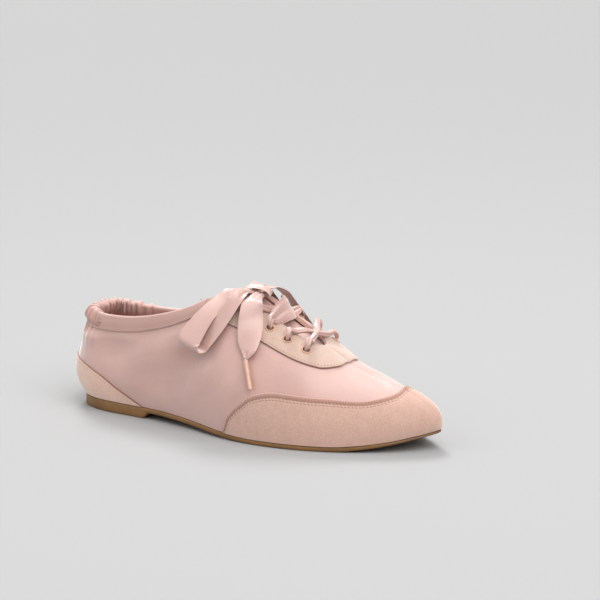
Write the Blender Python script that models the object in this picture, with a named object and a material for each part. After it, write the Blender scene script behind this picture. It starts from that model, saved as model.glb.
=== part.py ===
"""Ballet sneaker, right shoe, standing empty on its sole.

A satin lace-up flat: a moulded gum sole with a low heel, a hollow satin upper shaped on a last, a
suede mudguard, heel counter and eyestay, a collar binding gathered by elastic at the heel, a tongue,
an insole, ten eyelets and a ribbon lace tied in a bow.

Frame, in metres: +X towards the toe, +Y towards the medial side, +Z up. The origin is on the floor
under the middle of the heel.
"""

import math

import bmesh
import bpy
import numpy as np

for old_object in list(bpy.data.objects):
    bpy.data.objects.remove(old_object, do_unlink=True)

# Sole
SHOE_LENGTH = 0.250
BALL_WIDTH = 0.079
HEEL_REST_ALONG = 0.029
HEEL_SOLE_HEIGHT = 0.0072
FOREPART_SOLE_THICKNESS = 0.0030
TOE_SOLE_THICKNESS = 0.0020
WAIST_SOLE_THICKNESS = 0.0028
WAIST_RISE = 0.0040
TOE_SPRING = 0.0098
HEEL_BREAST_ALONG = 0.058
HEEL_BREAST_RUN = 0.006
FOREFOOT_REST_FROM = 0.150
FOREFOOT_REST_TO = 0.196
SOLE_EDGE_BEVEL = 0.0007

# Upper, over the last
INSTEP_HEIGHT = 0.0823
COLLAR_WIDTH = 0.050
UPPER_WALL = 0.0015
FEATHER_INSET = 0.0009
BELLY_SKEW = 0.9

# Overlays, insole and tongue
OVERLAY_THICKNESS = 0.0008
OVERLAY_GAP = 0.0006
SEAM_PIPING_RISE = 0.0006
SEAM_PIPING_WIDTH = 0.0022
BINDING_WIDTH = 0.0095
BINDING_THICKNESS = 0.0007
GATHER_DEPTH = 0.0024
GATHER_PLEATS = 13
INSOLE_THICKNESS = 0.0022
TONGUE_THICKNESS = 0.0020
TONGUE_GAP = 0.0012
TONGUE_RISE = 0.002
TONGUE_SAG = 0.0035

# Eyelets and lace
EYELET_ROWS = 5
EYELET_SPACING = 0.0136
EYELET_FROM_EDGE = 0.0125
EYELET_BORE_RADIUS = 0.0022
EYELET_BARREL_RADIUS = 0.0027
EYELET_FLANGE_RADIUS = 0.0036
EYELET_FLANGE_THICKNESS = 0.0006
GATHERED_THICKNESS = 0.0018
RIBBON_THICKNESS = 0.0008
KNOT_THICKNESS = 0.0010
AGLET_RADIUS = 0.0014

# Gap between neighbours that touch on the real shoe
CLEARANCE = 0.0003


def table(columns, rows):
    """The rows of a table as one array for each named column."""
    values = np.array(rows, dtype=float)
    return {name: values[:, place] for place, name in enumerate(columns)}


# Stations run from the heel's back (row 0) to the toe's tip (last row).
# Sole outline: along in shares of SHOE_LENGTH, half widths in shares of BALL_WIDTH.
SOLE = table(("along", "lateral", "medial"), (
    (0.000, 0.000, 0.000),
    (0.016, 0.165, 0.165),
    (0.052, 0.272, 0.272),
    (0.116, 0.335, 0.342),
    (0.212, 0.355, 0.352),
    (0.316, 0.395, 0.318),
    (0.412, 0.452, 0.292),
    (0.500, 0.520, 0.300),
    (0.592, 0.550, 0.362),
    (0.680, 0.526, 0.440),
    (0.764, 0.456, 0.468),
    (0.844, 0.342, 0.446),
    (0.912, 0.209, 0.366),
    (0.968, 0.052, 0.230),
    (1.000, -0.114, 0.114),
))

# Top line of the upper: collar, throat edges, then the ridge of the vamp.
# along in shares of SHOE_LENGTH, centre and half in shares of COLLAR_WIDTH, heights of INSTEP_HEIGHT.
TOP = table(("along", "centre", "half", "lateral_height", "medial_height"), (
    (0.034, 0.00, 0.00, 0.759, 0.759),
    (0.042, 0.00, 0.22, 0.756, 0.756),
    (0.068, 0.00, 0.36, 0.746, 0.739),
    (0.126, 0.01, 0.45, 0.744, 0.717),
    (0.212, 0.02, 0.50, 0.766, 0.713),
    (0.308, 0.03, 0.51, 0.832, 0.769),
    (0.392, 0.05, 0.47, 0.930, 0.886),
    (0.462, 0.05, 0.32, 1.000, 0.971),
    (0.548, 0.05, 0.20, 0.888, 0.888),
    (0.628, 0.05, 0.19, 0.759, 0.759),
    (0.696, 0.04, 0.00, 0.666, 0.666),
    (0.748, 0.06, 0.00, 0.592, 0.592),
    (0.784, 0.08, 0.00, 0.547, 0.547),
    (0.808, 0.09, 0.00, 0.518, 0.518),
    (0.816, 0.09, 0.00, 0.510, 0.510),
))

# Fullness of the wall between sole and top line: round is 0 for a straight wall and 1 for a quarter
# ellipse; the bellies are in shares of BALL_WIDTH.
FULLNESS = table(("round", "lateral_belly", "medial_belly"), (
    (0.00, 0.100, 0.100),
    (0.00, 0.086, 0.086),
    (0.00, 0.062, 0.062),
    (0.05, 0.040, 0.040),
    (0.10, 0.035, 0.045),
    (0.18, 0.035, 0.060),
    (0.30, 0.030, 0.070),
    (0.50, 0.020, 0.060),
    (0.70, 0.010, 0.040),
    (0.88, 0.005, 0.020),
    (1.00, 0.004, 0.006),
    (1.00, 0.008, 0.002),
    (1.00, 0.014, 0.006),
    (1.00, 0.024, 0.020),
    (1.00, 0.030, 0.030),
))

LAST_STATION = len(SOLE["along"]) - 1
LOOP = 2 * LAST_STATION
THROAT_FRONT = 10
THROAT_ROUND_FROM = 9


class LoopCurve:
    """Smooth closed curve through a value at each station: out along the lateral side, back along
    the medial side. It is curvature-smooth, or shape-keeping where hold is true."""

    def __init__(self, lateral, medial, hold=False):
        self.values = np.concatenate([lateral, medial[-2:0:-1]])
        steps = np.roll(self.values, -1) - self.values
        before = np.roll(steps, 1)
        if hold:
            same_way = before * steps > 0
            total = np.where(same_way, before + steps, 1.0)
            self.slopes = np.where(same_way, 2.0 * before * steps / total, 0.0)
        else:
            one = np.eye(len(self.values))
            spread = 4.0 * one + np.roll(one, 1, axis=1) + np.roll(one, -1, axis=1)
            self.slopes = np.linalg.solve(spread, 3.0 * (before + steps))

    def at(self, w):
        w = np.mod(w, len(self.values))
        first = np.floor(w).astype(int) % len(self.values)
        second = (first + 1) % len(self.values)
        t = w - np.floor(w)
        start = (1 + 2 * t) * (1 - t) ** 2 * self.values[first]
        end = t * t * (3 - 2 * t) * self.values[second]
        bend = t * (1 - t) ** 2 * self.slopes[first] + t * t * (t - 1) * self.slopes[second]
        return start + end + bend


def even(values, hold=False):
    return LoopCurve(values, values, hold)


sole_along = even(SOLE["along"] * SHOE_LENGTH)
sole_across = LoopCurve(-SOLE["lateral"] * BALL_WIDTH, SOLE["medial"] * BALL_WIDTH)
top_along = even(TOP["along"] * SHOE_LENGTH)
top_centre = even(TOP["centre"] * COLLAR_WIDTH)
top_half = LoopCurve(-TOP["half"] * COLLAR_WIDTH, TOP["half"] * COLLAR_WIDTH, hold=True)
top_height = LoopCurve(TOP["lateral_height"] * INSTEP_HEIGHT, TOP["medial_height"] * INSTEP_HEIGHT)
roundness = even(FULLNESS["round"], hold=True)
belly = LoopCurve(FULLNESS["lateral_belly"] * BALL_WIDTH, FULLNESS["medial_belly"] * BALL_WIDTH)


def station(w):
    """Station of a place on the loop, from 0 at the heel to LAST_STATION at the toe."""
    w = np.mod(w, LOOP)
    return np.where(w <= LAST_STATION, w, LOOP - w)


def side_sign(w):
    """-1 on the lateral side and +1 on the medial side."""
    return np.where(np.mod(w, LOOP) <= LAST_STATION, -1.0, 1.0)


def smooth_step(value, low, high):
    t = np.clip((value - low) / (high - low), 0.0, 1.0)
    return t * t * (3.0 - 2.0 * t)


def sole_bottom(along):
    """Height of the sole's underside: heel block, raised waist, flat forefoot and toe spring."""
    waist = WAIST_RISE * smooth_step(along, HEEL_BREAST_ALONG, HEEL_BREAST_ALONG + HEEL_BREAST_RUN)
    lowered = 1.0 - smooth_step(along, HEEL_BREAST_ALONG + 2 * HEEL_BREAST_RUN, FOREFOOT_REST_FROM)
    spring = np.clip((along - FOREFOOT_REST_TO) / (SHOE_LENGTH - FOREFOOT_REST_TO), 0.0, None)
    return waist * lowered + TOE_SPRING * spring ** 1.7


def sole_top(along):
    """Height of the surface that the upper stands on."""
    heel = HEEL_SOLE_HEIGHT
    waist_start = HEEL_BREAST_ALONG + HEEL_BREAST_RUN
    fall = smooth_step(along, 0.6 * HEEL_BREAST_ALONG, FOREFOOT_REST_FROM)
    thickness = WAIST_SOLE_THICKNESS + (FOREPART_SOLE_THICKNESS - WAIST_SOLE_THICKNESS) * fall
    thin = smooth_step(along, FOREFOOT_REST_TO, SHOE_LENGTH)
    thickness = thickness + (TOE_SOLE_THICKNESS - FOREPART_SOLE_THICKNESS) * thin
    over_waist = sole_bottom(np.maximum(along, waist_start)) + thickness
    return heel + (over_waist - heel) * smooth_step(along, 0.5 * HEEL_BREAST_ALONG, 1.6 * HEEL_BREAST_ALONG)


def outline_normal(w):
    """Outward direction of the sole's outline in plan."""
    step = 0.01
    run_x = sole_along.at(w + step) - sole_along.at(w - step)
    run_y = sole_across.at(w + step) - sole_across.at(w - step)
    length = np.hypot(run_x, run_y)
    return run_y / length, -run_x / length


def outline(w, inset):
    """Sole outline in plan, moved inwards by inset."""
    out_x, out_y = outline_normal(w)
    return sole_along.at(w) - out_x * inset, sole_across.at(w) - out_y * inset


def top_point(w):
    """Top line of the upper, with the throat's round front end."""
    s = station(w)
    rounding = np.sqrt(np.clip(1.0 - (s - THROAT_ROUND_FROM) ** 2, 0.0, 1.0))
    at_round = side_sign(w) * TOP["half"][THROAT_ROUND_FROM] * COLLAR_WIDTH * rounding
    half = np.where(s <= THROAT_ROUND_FROM, top_half.at(w), np.where(s < THROAT_FRONT, at_round, 0.0))
    return top_along.at(w), top_centre.at(w) + half, top_height.at(w)


def ridge_slope(w):
    """Rise of the vamp's ridge for each metre towards the toe."""
    s = np.clip(station(w), THROAT_FRONT, LAST_STATION - 0.2)
    step = 0.05
    rise = top_height.at(s + step) - top_height.at(s - step)
    run = top_along.at(s + step) - top_along.at(s - step)
    return rise / run


def upper_surface(w, v):
    """Outer face of the satin: v is 0 at the sole and 1 at the top line or the vamp's ridge."""
    w, v = np.broadcast_arrays(np.asarray(w, dtype=float), np.asarray(v, dtype=float))
    base_x, base_y = outline(w, FEATHER_INSET)
    base_z = sole_top(base_x) + CLEARANCE
    top_x, top_y, top_z = top_point(w)
    angle = v * math.pi / 2
    share = roundness.at(w)
    across = share * (1 - np.cos(angle)) + (1 - share) * v ** 2
    up = share * np.sin(angle) + (1 - share) * v
    rise = top_z - base_z
    end_slope = share * ridge_slope(w) * (top_x - base_x) * math.pi / 2
    ridge_blend = smooth_step(station(w), THROAT_ROUND_FROM - 2, THROAT_FRONT)
    lean = end_slope * ridge_blend * v * v * (v - 1)
    out_x, out_y = outline_normal(w)
    bulge = belly.at(w) * np.sin(math.pi * v * (1 + BELLY_SKEW) / (1 + BELLY_SKEW * v))
    x = base_x + (top_x - base_x) * across + out_x * bulge
    y = base_y + (top_y - base_y) * across + out_y * bulge
    z = base_z + rise * up + lean
    return np.stack([x, y, z], axis=-1)


def upper_normal(w, v):
    """Outward direction of the upper's face, read just short of its top line."""
    w, v = np.broadcast_arrays(np.asarray(w, dtype=float), np.asarray(v, dtype=float))
    v = np.clip(v, 0.004, 0.985)
    along = upper_surface(w + 0.02, v) - upper_surface(w - 0.02, v)
    upward = upper_surface(w, v + 0.004) - upper_surface(w, v - 0.004)
    normal = np.cross(along, upward)
    return normal / np.linalg.norm(normal, axis=-1, keepdims=True)


def upper_point(w, v, out):
    """Place at a distance out from the upper's outer face, above the sole, in the part's frame."""
    place = upper_surface(w, v) + upper_normal(w, v) * np.asarray(out)[..., None]
    floor = sole_top(np.clip(place[..., 0], 0.0, SHOE_LENGTH)) + CLEARANCE
    place[..., 2] = np.maximum(place[..., 2], floor)
    return place - np.array([HEEL_REST_ALONG, 0.0, 0.0])


def wall_length(w):
    """Length of the upper's wall from the sole to the top line."""
    w = np.atleast_1d(np.asarray(w, dtype=float))
    places = upper_surface(w[:, None], np.linspace(0, 1, 25)[None, :])
    return np.linalg.norm(np.diff(places, axis=1), axis=-1).sum(axis=1)


def stations_between(start, end, step):
    count = max(2, int(round((end - start) / step)) + 1)
    return np.linspace(start, end, count)


# Materials


def material(name, color, roughness, metallic=0.0):
    made = bpy.data.materials.new(name)
    made.use_nodes = True
    shader = made.node_tree.nodes["Principled BSDF"]
    shader.inputs["Base Color"].default_value = (*color, 1.0)
    shader.inputs["Roughness"].default_value = roughness
    shader.inputs["Metallic"].default_value = metallic
    made.diffuse_color = (*color, 1.0)
    return made


SATIN = (0.62, 0.36, 0.31)
SUEDE = (0.70, 0.46, 0.37)
GUM = (0.24, 0.12, 0.05)
RIBBON = (0.66, 0.36, 0.31)
LINING = (0.58, 0.34, 0.28)
ENAMEL = (0.72, 0.50, 0.40)

# Solids


def add_object(name, mesh, made_of):
    mesh.materials.append(made_of)
    made = bpy.data.objects.new(name, mesh)
    bpy.context.scene.collection.objects.link(made)
    return made


def closed_object(name, points, faces, made_of, smooth_angle=40.0):
    """A closed solid from points and faces, with its faces turned outwards."""
    mesh = bpy.data.meshes.new(name)
    mesh.from_pydata([tuple(map(float, point)) for point in points], [], faces)
    net = bmesh.new()
    net.from_mesh(mesh)
    bmesh.ops.recalc_face_normals(net, faces=net.faces)
    net.to_mesh(mesh)
    net.free()
    mesh.shade_smooth()
    mesh.set_sharp_from_angle(angle=math.radians(smooth_angle))
    return add_object(name, mesh, made_of)


def weld_column(column, keys, spots):
    """Numbers of a column's places, with one number for places that fall together."""
    line = []
    for number, (w, v) in enumerate(column):
        w = float(np.mod(w, LOOP))
        on_ridge = v > 1 - 1e-9 and float(station(w)) >= THROAT_FRONT
        key_w = min(w, LOOP - w) if on_ridge else w
        key = (round(key_w, 6) % LOOP, round(float(v), 6))
        if key not in keys:
            keys[key] = len(spots)
            spots.append((key_w, v, number))
        line.append(keys[key])
    return line


def shell(name, nets, place_low, place_high, made_of):
    """A closed sheet between two faces over nets of places.

    Each net is a list of columns, and each column a list of (w, v). Places that fall together on the
    vamp's ridge are welded. place_low and place_high turn arrays of w, v and row into points.
    """
    keys = {}
    spots = []
    grids = []
    for net in nets:
        grids.append([weld_column(column, keys, spots) for column in net])
    spots = np.array(spots)
    low = place_low(spots[:, 0], spots[:, 1], spots[:, 2])
    high = place_high(spots[:, 0], spots[:, 1], spots[:, 2])
    count = len(spots)
    outer = []
    for grid in grids:
        for left, right in zip(grid[:-1], grid[1:]):
            for k in range(len(left) - 1):
                corners = [left[k], right[k], right[k + 1], left[k + 1]]
                corners = [c for place, c in enumerate(corners) if c != corners[place - 1]]
                if len(set(corners)) >= 3:
                    outer.append(corners)
    edges = {}
    for face in outer:
        for a, b in zip(face, face[1:] + face[:1]):
            edges[(a, b)] = edges.get((a, b), 0) + 1
    faces = [list(face) for face in outer]
    faces += [[c + count for c in reversed(face)] for face in outer]
    for a, b in edges:
        if (b, a) not in edges:
            faces.append([b, a, a + count, b + count])
    return closed_object(name, np.concatenate([high, low]), faces, made_of)


def plate(name, stations, inset, low, high, edge_bevel, made_of):
    """A plate inside the sole's outline, between two heights given by functions of along."""
    lateral = [float(s) for s in stations]
    loop = lateral + [LOOP - s for s in reversed(lateral[1:-1])]
    w = np.array(loop)
    rings = []
    for ring_inset, height, lift in ((inset + edge_bevel, low, 0.0), (inset, low, edge_bevel), (inset, high, 0.0)):
        x, y = outline(w, ring_inset)
        along = sole_along.at(w)
        rings.append(np.stack([x - HEEL_REST_ALONG, y, height(along) + lift], axis=-1))
    if edge_bevel == 0.0:
        rings = rings[1:]
    n = len(w)
    last = (len(rings) - 1) * n
    faces = []
    for ring in range(len(rings) - 1):
        for k in range(n):
            nxt = (k + 1) % n
            faces.append([ring * n + k, ring * n + nxt, (ring + 1) * n + nxt, (ring + 1) * n + k])
    for k in range(len(lateral) - 1):
        a, b = k, k + 1
        c, d = (n - b) % n, (n - a) % n
        across = [a, b, c, d]
        across = [m for place, m in enumerate(across) if m != across[place - 1]]
        faces.append([m for m in reversed(across)])
        faces.append([m + last for m in across])
    return closed_object(name, np.concatenate(rings), faces, made_of)


def along_station(along):
    """Station whose sole outline lies at a distance along the shoe."""
    dense = np.linspace(0, LAST_STATION, 2000)
    return float(np.interp(along, sole_along.at(dense), dense))


def offset_by(distance):
    return lambda w, v, number: upper_point(w, v, np.full(len(w), distance))


# Sole and insole

sole_material = material("gum_rubber", GUM, 0.55)
breast = [along_station(HEEL_BREAST_ALONG + HEEL_BREAST_RUN * share) for share in (0.0, 0.35, 0.65, 1.0)]
sole_stations = sorted(set(list(stations_between(0, LAST_STATION, 0.35)) + breast
                           + [along_station(FOREFOOT_REST_FROM), along_station(FOREFOOT_REST_TO)]))
plate("outsole", sole_stations, 0.0, sole_bottom, sole_top, SOLE_EDGE_BEVEL, sole_material)

insole_inset = FEATHER_INSET + UPPER_WALL + 2 * CLEARANCE
plate("insole", stations_between(0, LAST_STATION, 0.5), insole_inset,
      lambda along: sole_top(along) + CLEARANCE,
      lambda along: sole_top(along) + CLEARANCE + INSOLE_THICKNESS, 0.0, material("insole_cloth", LINING, 0.8))

# Upper

UPPER_ROWS = (0.0, 0.08, 0.18, 0.29, 0.41, 0.53, 0.65, 0.77, 0.89, 1.0)
side_stations = list(stations_between(0, 2, 0.25))
side_stations += list(stations_between(2, THROAT_ROUND_FROM, 0.35))[1:]
side_stations += [9.3, 9.6, 9.8, 9.93, 10.0]
side_stations += list(stations_between(THROAT_FRONT, LAST_STATION, 0.34))[1:]


def stations_within(start, end):
    """The wall's own stations between two places, with both ends."""
    kept = [s for s in side_stations if start + 0.08 < s < end - 0.08]
    return [start] + kept + [end]


loop_columns = side_stations + [LOOP - s for s in reversed(side_stations[:-1])]
upper_net = [[(w, v) for v in UPPER_ROWS] for w in loop_columns]
upper = shell("upper", [upper_net], offset_by(-UPPER_WALL), offset_by(0.0), material("satin", SATIN, 0.35))


# Overlays, cut between two larger forms of the upper's own wall

OVERLAY_LOW = OVERLAY_GAP
OVERLAY_HIGH = OVERLAY_GAP + OVERLAY_THICKNESS

# Edges as station along the shoe and share of the wall's height.
MUDGUARD_SEAM = table(("station", "height"), (
    (7.18, 0.020), (7.35, 0.110), (7.70, 0.200), (8.15, 0.285), (8.80, 0.340), (9.80, 0.366),
    (10.6, 0.400), (11.4, 0.428), (12.3, 0.515), (13.1, 0.620), (13.6, 0.685), (14.0, 0.703),
))
COUNTER_EDGE = table(("station", "height"), (
    (0.00, 0.460), (1.00, 0.450), (2.00, 0.410), (2.90, 0.305), (3.50, 0.170), (4.20, 0.012),
))
EYESTAY_EDGE = table(("station", "height"), (
    (6.12, 1.000), (6.50, 0.870), (7.17, 0.712), (8.10, 0.680), (9.50, 0.653), (9.98, 0.662),
    (10.30, 0.735), (10.60, 0.845), (10.90, 1.000),
))


def smooth_table(place, places, values):
    """Shape-keeping smooth curve through a table's rows."""
    gaps = np.diff(places)
    rates = np.diff(values) / gaps
    same_way = rates[:-1] * rates[1:] > 0
    total = np.where(same_way, rates[:-1] + rates[1:], 1.0)
    slopes = np.where(same_way, 2.0 * rates[:-1] * rates[1:] / total, 0.0)
    slopes = np.concatenate([[rates[0]], slopes, [rates[-1]]])
    place = np.clip(place, places[0], places[-1])
    k = np.clip(np.searchsorted(places, place, side="right") - 1, 0, len(gaps) - 1)
    t = (place - places[k]) / gaps[k]
    start = (1 + 2 * t) * (1 - t) ** 2 * values[k] + t * (1 - t) ** 2 * gaps[k] * slopes[k]
    return start + t * t * (3 - 2 * t) * values[k + 1] + t * t * (t - 1) * gaps[k] * slopes[k + 1]


def edge_height(edge, w):
    return smooth_table(station(w), edge["station"], edge["height"])


suede = material("suede", SUEDE, 0.9)

# Mudguard round the toe, with the seam's piping raised along its upper edge
mudguard_first = float(MUDGUARD_SEAM["station"][0])
mudguard_stations = stations_within(mudguard_first, float(LAST_STATION))
mudguard_columns = []
for w in mudguard_stations + [LOOP - s for s in reversed(mudguard_stations[:-1])]:
    top = float(edge_height(MUDGUARD_SEAM, w))
    piping = min(SEAM_PIPING_WIDTH / float(wall_length(w)[0]), 0.6 * top)
    shares = [(top - piping) * share for share in (0.0, 0.18, 0.36, 0.54, 0.72, 0.87, 1.0)]
    mudguard_columns.append([(w, share) for share in shares + [top - 0.5 * piping, top]])
PIPING_ROW = 7


def mudguard_face(w, v, number):
    raised = np.where(number == PIPING_ROW, SEAM_PIPING_RISE, 0.0)
    return upper_point(w, v, OVERLAY_HIGH + raised)


shell("toe_mudguard", [mudguard_columns], offset_by(OVERLAY_LOW), mudguard_face, suede)

# Heel counter
counter_last = float(COUNTER_EDGE["station"][-1])
counter_columns = []
counter_side = stations_within(0.0, counter_last)
for w in [-s for s in reversed(counter_side[1:])] + counter_side:
    top = float(edge_height(COUNTER_EDGE, w))
    counter_columns.append([(w, top * share) for share in (0.0, 0.22, 0.45, 0.72, 1.0)])
shell("heel_counter", [counter_columns], offset_by(OVERLAY_LOW), offset_by(OVERLAY_HIGH), suede)

# Eyestay: two facings joined in front of the throat
eyestay_stations = stations_within(float(EYESTAY_EDGE["station"][0]), THROAT_FRONT)
eyestay_stations += [10.17, 10.34, 10.5, 10.68, 10.8, float(EYESTAY_EDGE["station"][-1])]
eyestay_nets = []
for side in (0, 1):
    columns = []
    for s in eyestay_stations if side == 0 else reversed(eyestay_stations):
        w = s if side == 0 else LOOP - s
        low = float(edge_height(EYESTAY_EDGE, w))
        columns.append([(w, low + (1.0 - low) * share) for share in (0.0, 0.2, 0.4, 0.6, 0.8, 1.0)])
    eyestay_nets.append(columns)
eyestay = shell("eyestay", eyestay_nets, offset_by(OVERLAY_LOW), offset_by(OVERLAY_HIGH), suede)

# Collar binding, folded over the top line and gathered on elastic round the heel
GATHER_LATERAL_STATION = 2.45
GATHER_MEDIAL_STATION = 3.2
BINDING_LAST_STATION = 6.0
GATHER_PUFF = 0.0013
GATHER_LIFT = 0.0014


def wall_frame(w):
    """Top line point, outward direction and upward direction of the wall there."""
    edge = upper_point(w, np.ones(len(w)), np.zeros(len(w)))
    below = upper_point(w, np.full(len(w), 0.97), np.zeros(len(w)))
    upward = edge - below
    upward = upward / np.linalg.norm(upward, axis=-1, keepdims=True)
    return edge, upper_normal(w, 0.98), upward


def gather_amount(w):
    """1 within the elastic's run round the heel, 0 outside it."""
    w = np.where(w > LAST_STATION, w - LOOP, w)
    lateral = smooth_step(-w, -GATHER_LATERAL_STATION, -GATHER_LATERAL_STATION + 0.25)
    medial = smooth_step(w, -GATHER_MEDIAL_STATION, -GATHER_MEDIAL_STATION + 0.25)
    return lateral * medial


def binding_ring(w):
    """Section of the binding at each w: down the outside, over the top line, down the inside."""
    w = np.atleast_1d(w)
    gathered = gather_amount(np.mod(w, LOOP))
    span = GATHER_LATERAL_STATION + GATHER_MEDIAL_STATION
    turns = GATHER_PLEATS * (w + GATHER_MEDIAL_STATION) / span
    pleat = gathered * (0.5 - 0.5 * np.cos(2 * math.pi * turns))
    puff = gathered * GATHER_PUFF + pleat * GATHER_DEPTH
    lift = pleat * GATHER_LIFT
    edge, outward, upward = wall_frame(w)
    low, high = CLEARANCE, CLEARANCE + BINDING_THICKNESS
    inner = -UPPER_WALL
    length = wall_length(w)
    ring = []
    for down, out, puffed, lifted in (
            (BINDING_WIDTH, low, 0.0, 0.0), (BINDING_WIDTH, high, 0.0, 0.0),
            (0.55 * BINDING_WIDTH, high, 1.0, 0.0), (0.15 * BINDING_WIDTH, high, 0.9, 0.6),
            (-0.6 * high, high, 0.6, 1.0), (-high, 0.5 * inner, 0.25, 1.0),
            (-0.6 * high, inner - high, -0.2, 1.0), (0.55 * BINDING_WIDTH, inner - high, -0.2, 0.0),
            (0.55 * BINDING_WIDTH, inner - low, 0.0, 0.0), (-low, inner - low, 0.0, 0.0),
            (-low, low, 0.0, 0.0), (0.5 * BINDING_WIDTH, low, 0.0, 0.0)):
        reach = out + puffed * puff
        if down > 0:
            point = upper_point(w, 1.0 - down / length, reach)
            point = point + upward * (lifted * lift)[:, None]
        else:
            point = edge + upward * (-down + lifted * lift)[:, None] + outward * reach[:, None]
        ring.append(point)
    return np.stack(ring, axis=1)


def swept(name, rings, made_of, closed=False, smooth_angle=40.0):
    """A closed solid through a row of rings with the same number of points."""
    rings = np.asarray(rings)
    count, sides = rings.shape[:2]
    faces = []
    for ring in range(count if closed else count - 1):
        after = (ring + 1) % count
        for k in range(sides):
            nxt = (k + 1) % sides
            faces.append([ring * sides + k, ring * sides + nxt, after * sides + nxt, after * sides + k])
    if not closed:
        faces.append(list(range(sides)))
        faces.append([(count - 1) * sides + k for k in reversed(range(sides))])
    return closed_object(name, rings.reshape(-1, 3), faces, made_of, smooth_angle)


plain_run = list(stations_between(GATHER_LATERAL_STATION, BINDING_LAST_STATION, 0.5))
plain_back = list(stations_between(-BINDING_LAST_STATION, -GATHER_MEDIAL_STATION, 0.5))
gather_run = list(np.linspace(-GATHER_MEDIAL_STATION, GATHER_LATERAL_STATION, 2 * GATHER_PLEATS + 1))[1:-1]
binding_places = np.array(plain_back + gather_run + plain_run)
swept("collar_binding", binding_ring(binding_places), material("satin_binding", SATIN, 0.4))

# Tongue, under the facings and across the throat
TONGUE_ROOT_STATION = 10.8
TONGUE_UNDER_FACING = 0.012
TONGUE_SIDE_POINTS = 13
TONGUE_SAG_FULL_STATION = 7.4
TONGUE_SAG_FIRST_STATION = 9.0


def even_steps(points, count):
    """Points spread evenly along a run of points."""
    lengths = np.concatenate([[0.0], np.cumsum(np.linalg.norm(np.diff(points, axis=0), axis=1))])
    places = np.linspace(0.0, lengths[-1], count)
    return np.stack([np.interp(places, lengths, points[:, k]) for k in range(3)], axis=1)


def tongue_section(s, depth, under):
    """Points across the tongue at a station, at a depth below the upper's outer face."""
    runs = []
    for w in (s, LOOP - s):
        length = float(wall_length(w)[0])
        v = 1.0 - np.linspace(under, 0.0, 9) / length
        runs.append(upper_point(np.full(9, w), v, np.full(9, -depth)))
    lateral, medial = runs
    gap = float(np.linalg.norm(medial[-1] - lateral[-1]))
    if gap < 2 * CLEARANCE:
        return even_steps(np.concatenate([lateral[:-1], medial[::-1]]), TONGUE_SIDE_POINTS)
    start = (lateral[-1] - lateral[-2]) / np.linalg.norm(lateral[-1] - lateral[-2])
    end = (medial[-2] - medial[-1]) / np.linalg.norm(medial[-1] - medial[-2])
    t = np.linspace(0, 1, 9)[:, None]
    bridge = ((1 + 2 * t) * (1 - t) ** 2 * lateral[-1] + t * t * (3 - 2 * t) * medial[-1]
              + gap * (t * (1 - t) ** 2 * start + t * t * (t - 1) * end))
    sag = TONGUE_SAG * (1.0 - smooth_step(s, TONGUE_SAG_FULL_STATION, TONGUE_SAG_FIRST_STATION))
    bridge[:, 2:] -= sag * np.sin(math.pi * t)
    return even_steps(np.concatenate([lateral[:-1], bridge, medial[-2::-1]]), TONGUE_SIDE_POINTS)


def tongue_face(depth):
    stations = [TONGUE_ROOT_STATION, 10.45, 10.15, 9.9, 9.65]
    stations += list(reversed(stations_between(7.0, 9.35, 0.4)))
    under = [TONGUE_UNDER_FACING * (0.15 + 0.85 * smooth_step(s, 7.0, 8.4)) for s in stations]
    sections = [tongue_section(s, depth, width) for s, width in zip(stations, under)]
    reach = (sections[-1] - sections[-2]) / np.linalg.norm(sections[-1] - sections[-2], axis=1)[:, None]
    free_end = sections[-1] + reach * TONGUE_RISE
    return sections + [free_end]


tongue_top = tongue_face(UPPER_WALL + TONGUE_GAP)
tongue_under = tongue_face(UPPER_WALL + TONGUE_GAP + TONGUE_THICKNESS)
tongue_rings = [np.concatenate([high, low[::-1]]) for high, low in zip(tongue_top, tongue_under)]
swept("tongue", tongue_rings, material("tongue_satin", SATIN, 0.45))

# Eyelets, in two rows through the facings
EYELET_FIRST_STATION = 9.55
EYELET_SEARCH_STATION = 6.0
EYELET_SIDES = 8
EYELET_SEAT = 0.0004
DRILL_REACH = 0.003


def eyelet_frames(side):
    """Centre on the satin, outward direction and direction to the throat's edge, toe to collar."""
    stations = np.linspace(EYELET_FIRST_STATION, EYELET_SEARCH_STATION, 800)
    w = stations if side == "lateral" else LOOP - stations
    v = 1.0 - EYELET_FROM_EDGE / wall_length(w)
    line = upper_point(w, v, np.zeros(len(w)))
    run = np.concatenate([[0.0], np.cumsum(np.linalg.norm(np.diff(line, axis=0), axis=1))])
    frames = []
    for row in range(EYELET_ROWS):
        place = int(np.searchsorted(run, EYELET_SPACING * row))
        outward = upper_normal(w[place], v[place])
        edge = upper_point(w[place:place + 1], np.ones(1), np.zeros(1))[0]
        inward = edge - line[place]
        inward = inward - outward * (inward @ outward)
        frames.append((line[place], outward, inward / np.linalg.norm(inward)))
    return frames


def turned_rings(frame, profile):
    """A radius and height profile turned about an eyelet's axis, one ring for each side of the turn."""
    centre, outward, inward = frame
    aside = np.cross(outward, inward)
    rings = []
    for side in range(EYELET_SIDES):
        angle = 2 * math.pi * side / EYELET_SIDES
        ray = inward * math.cos(angle) + aside * math.sin(angle)
        rings.append([centre + ray * radius + outward * height for radius, height in profile])
    return rings


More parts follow.
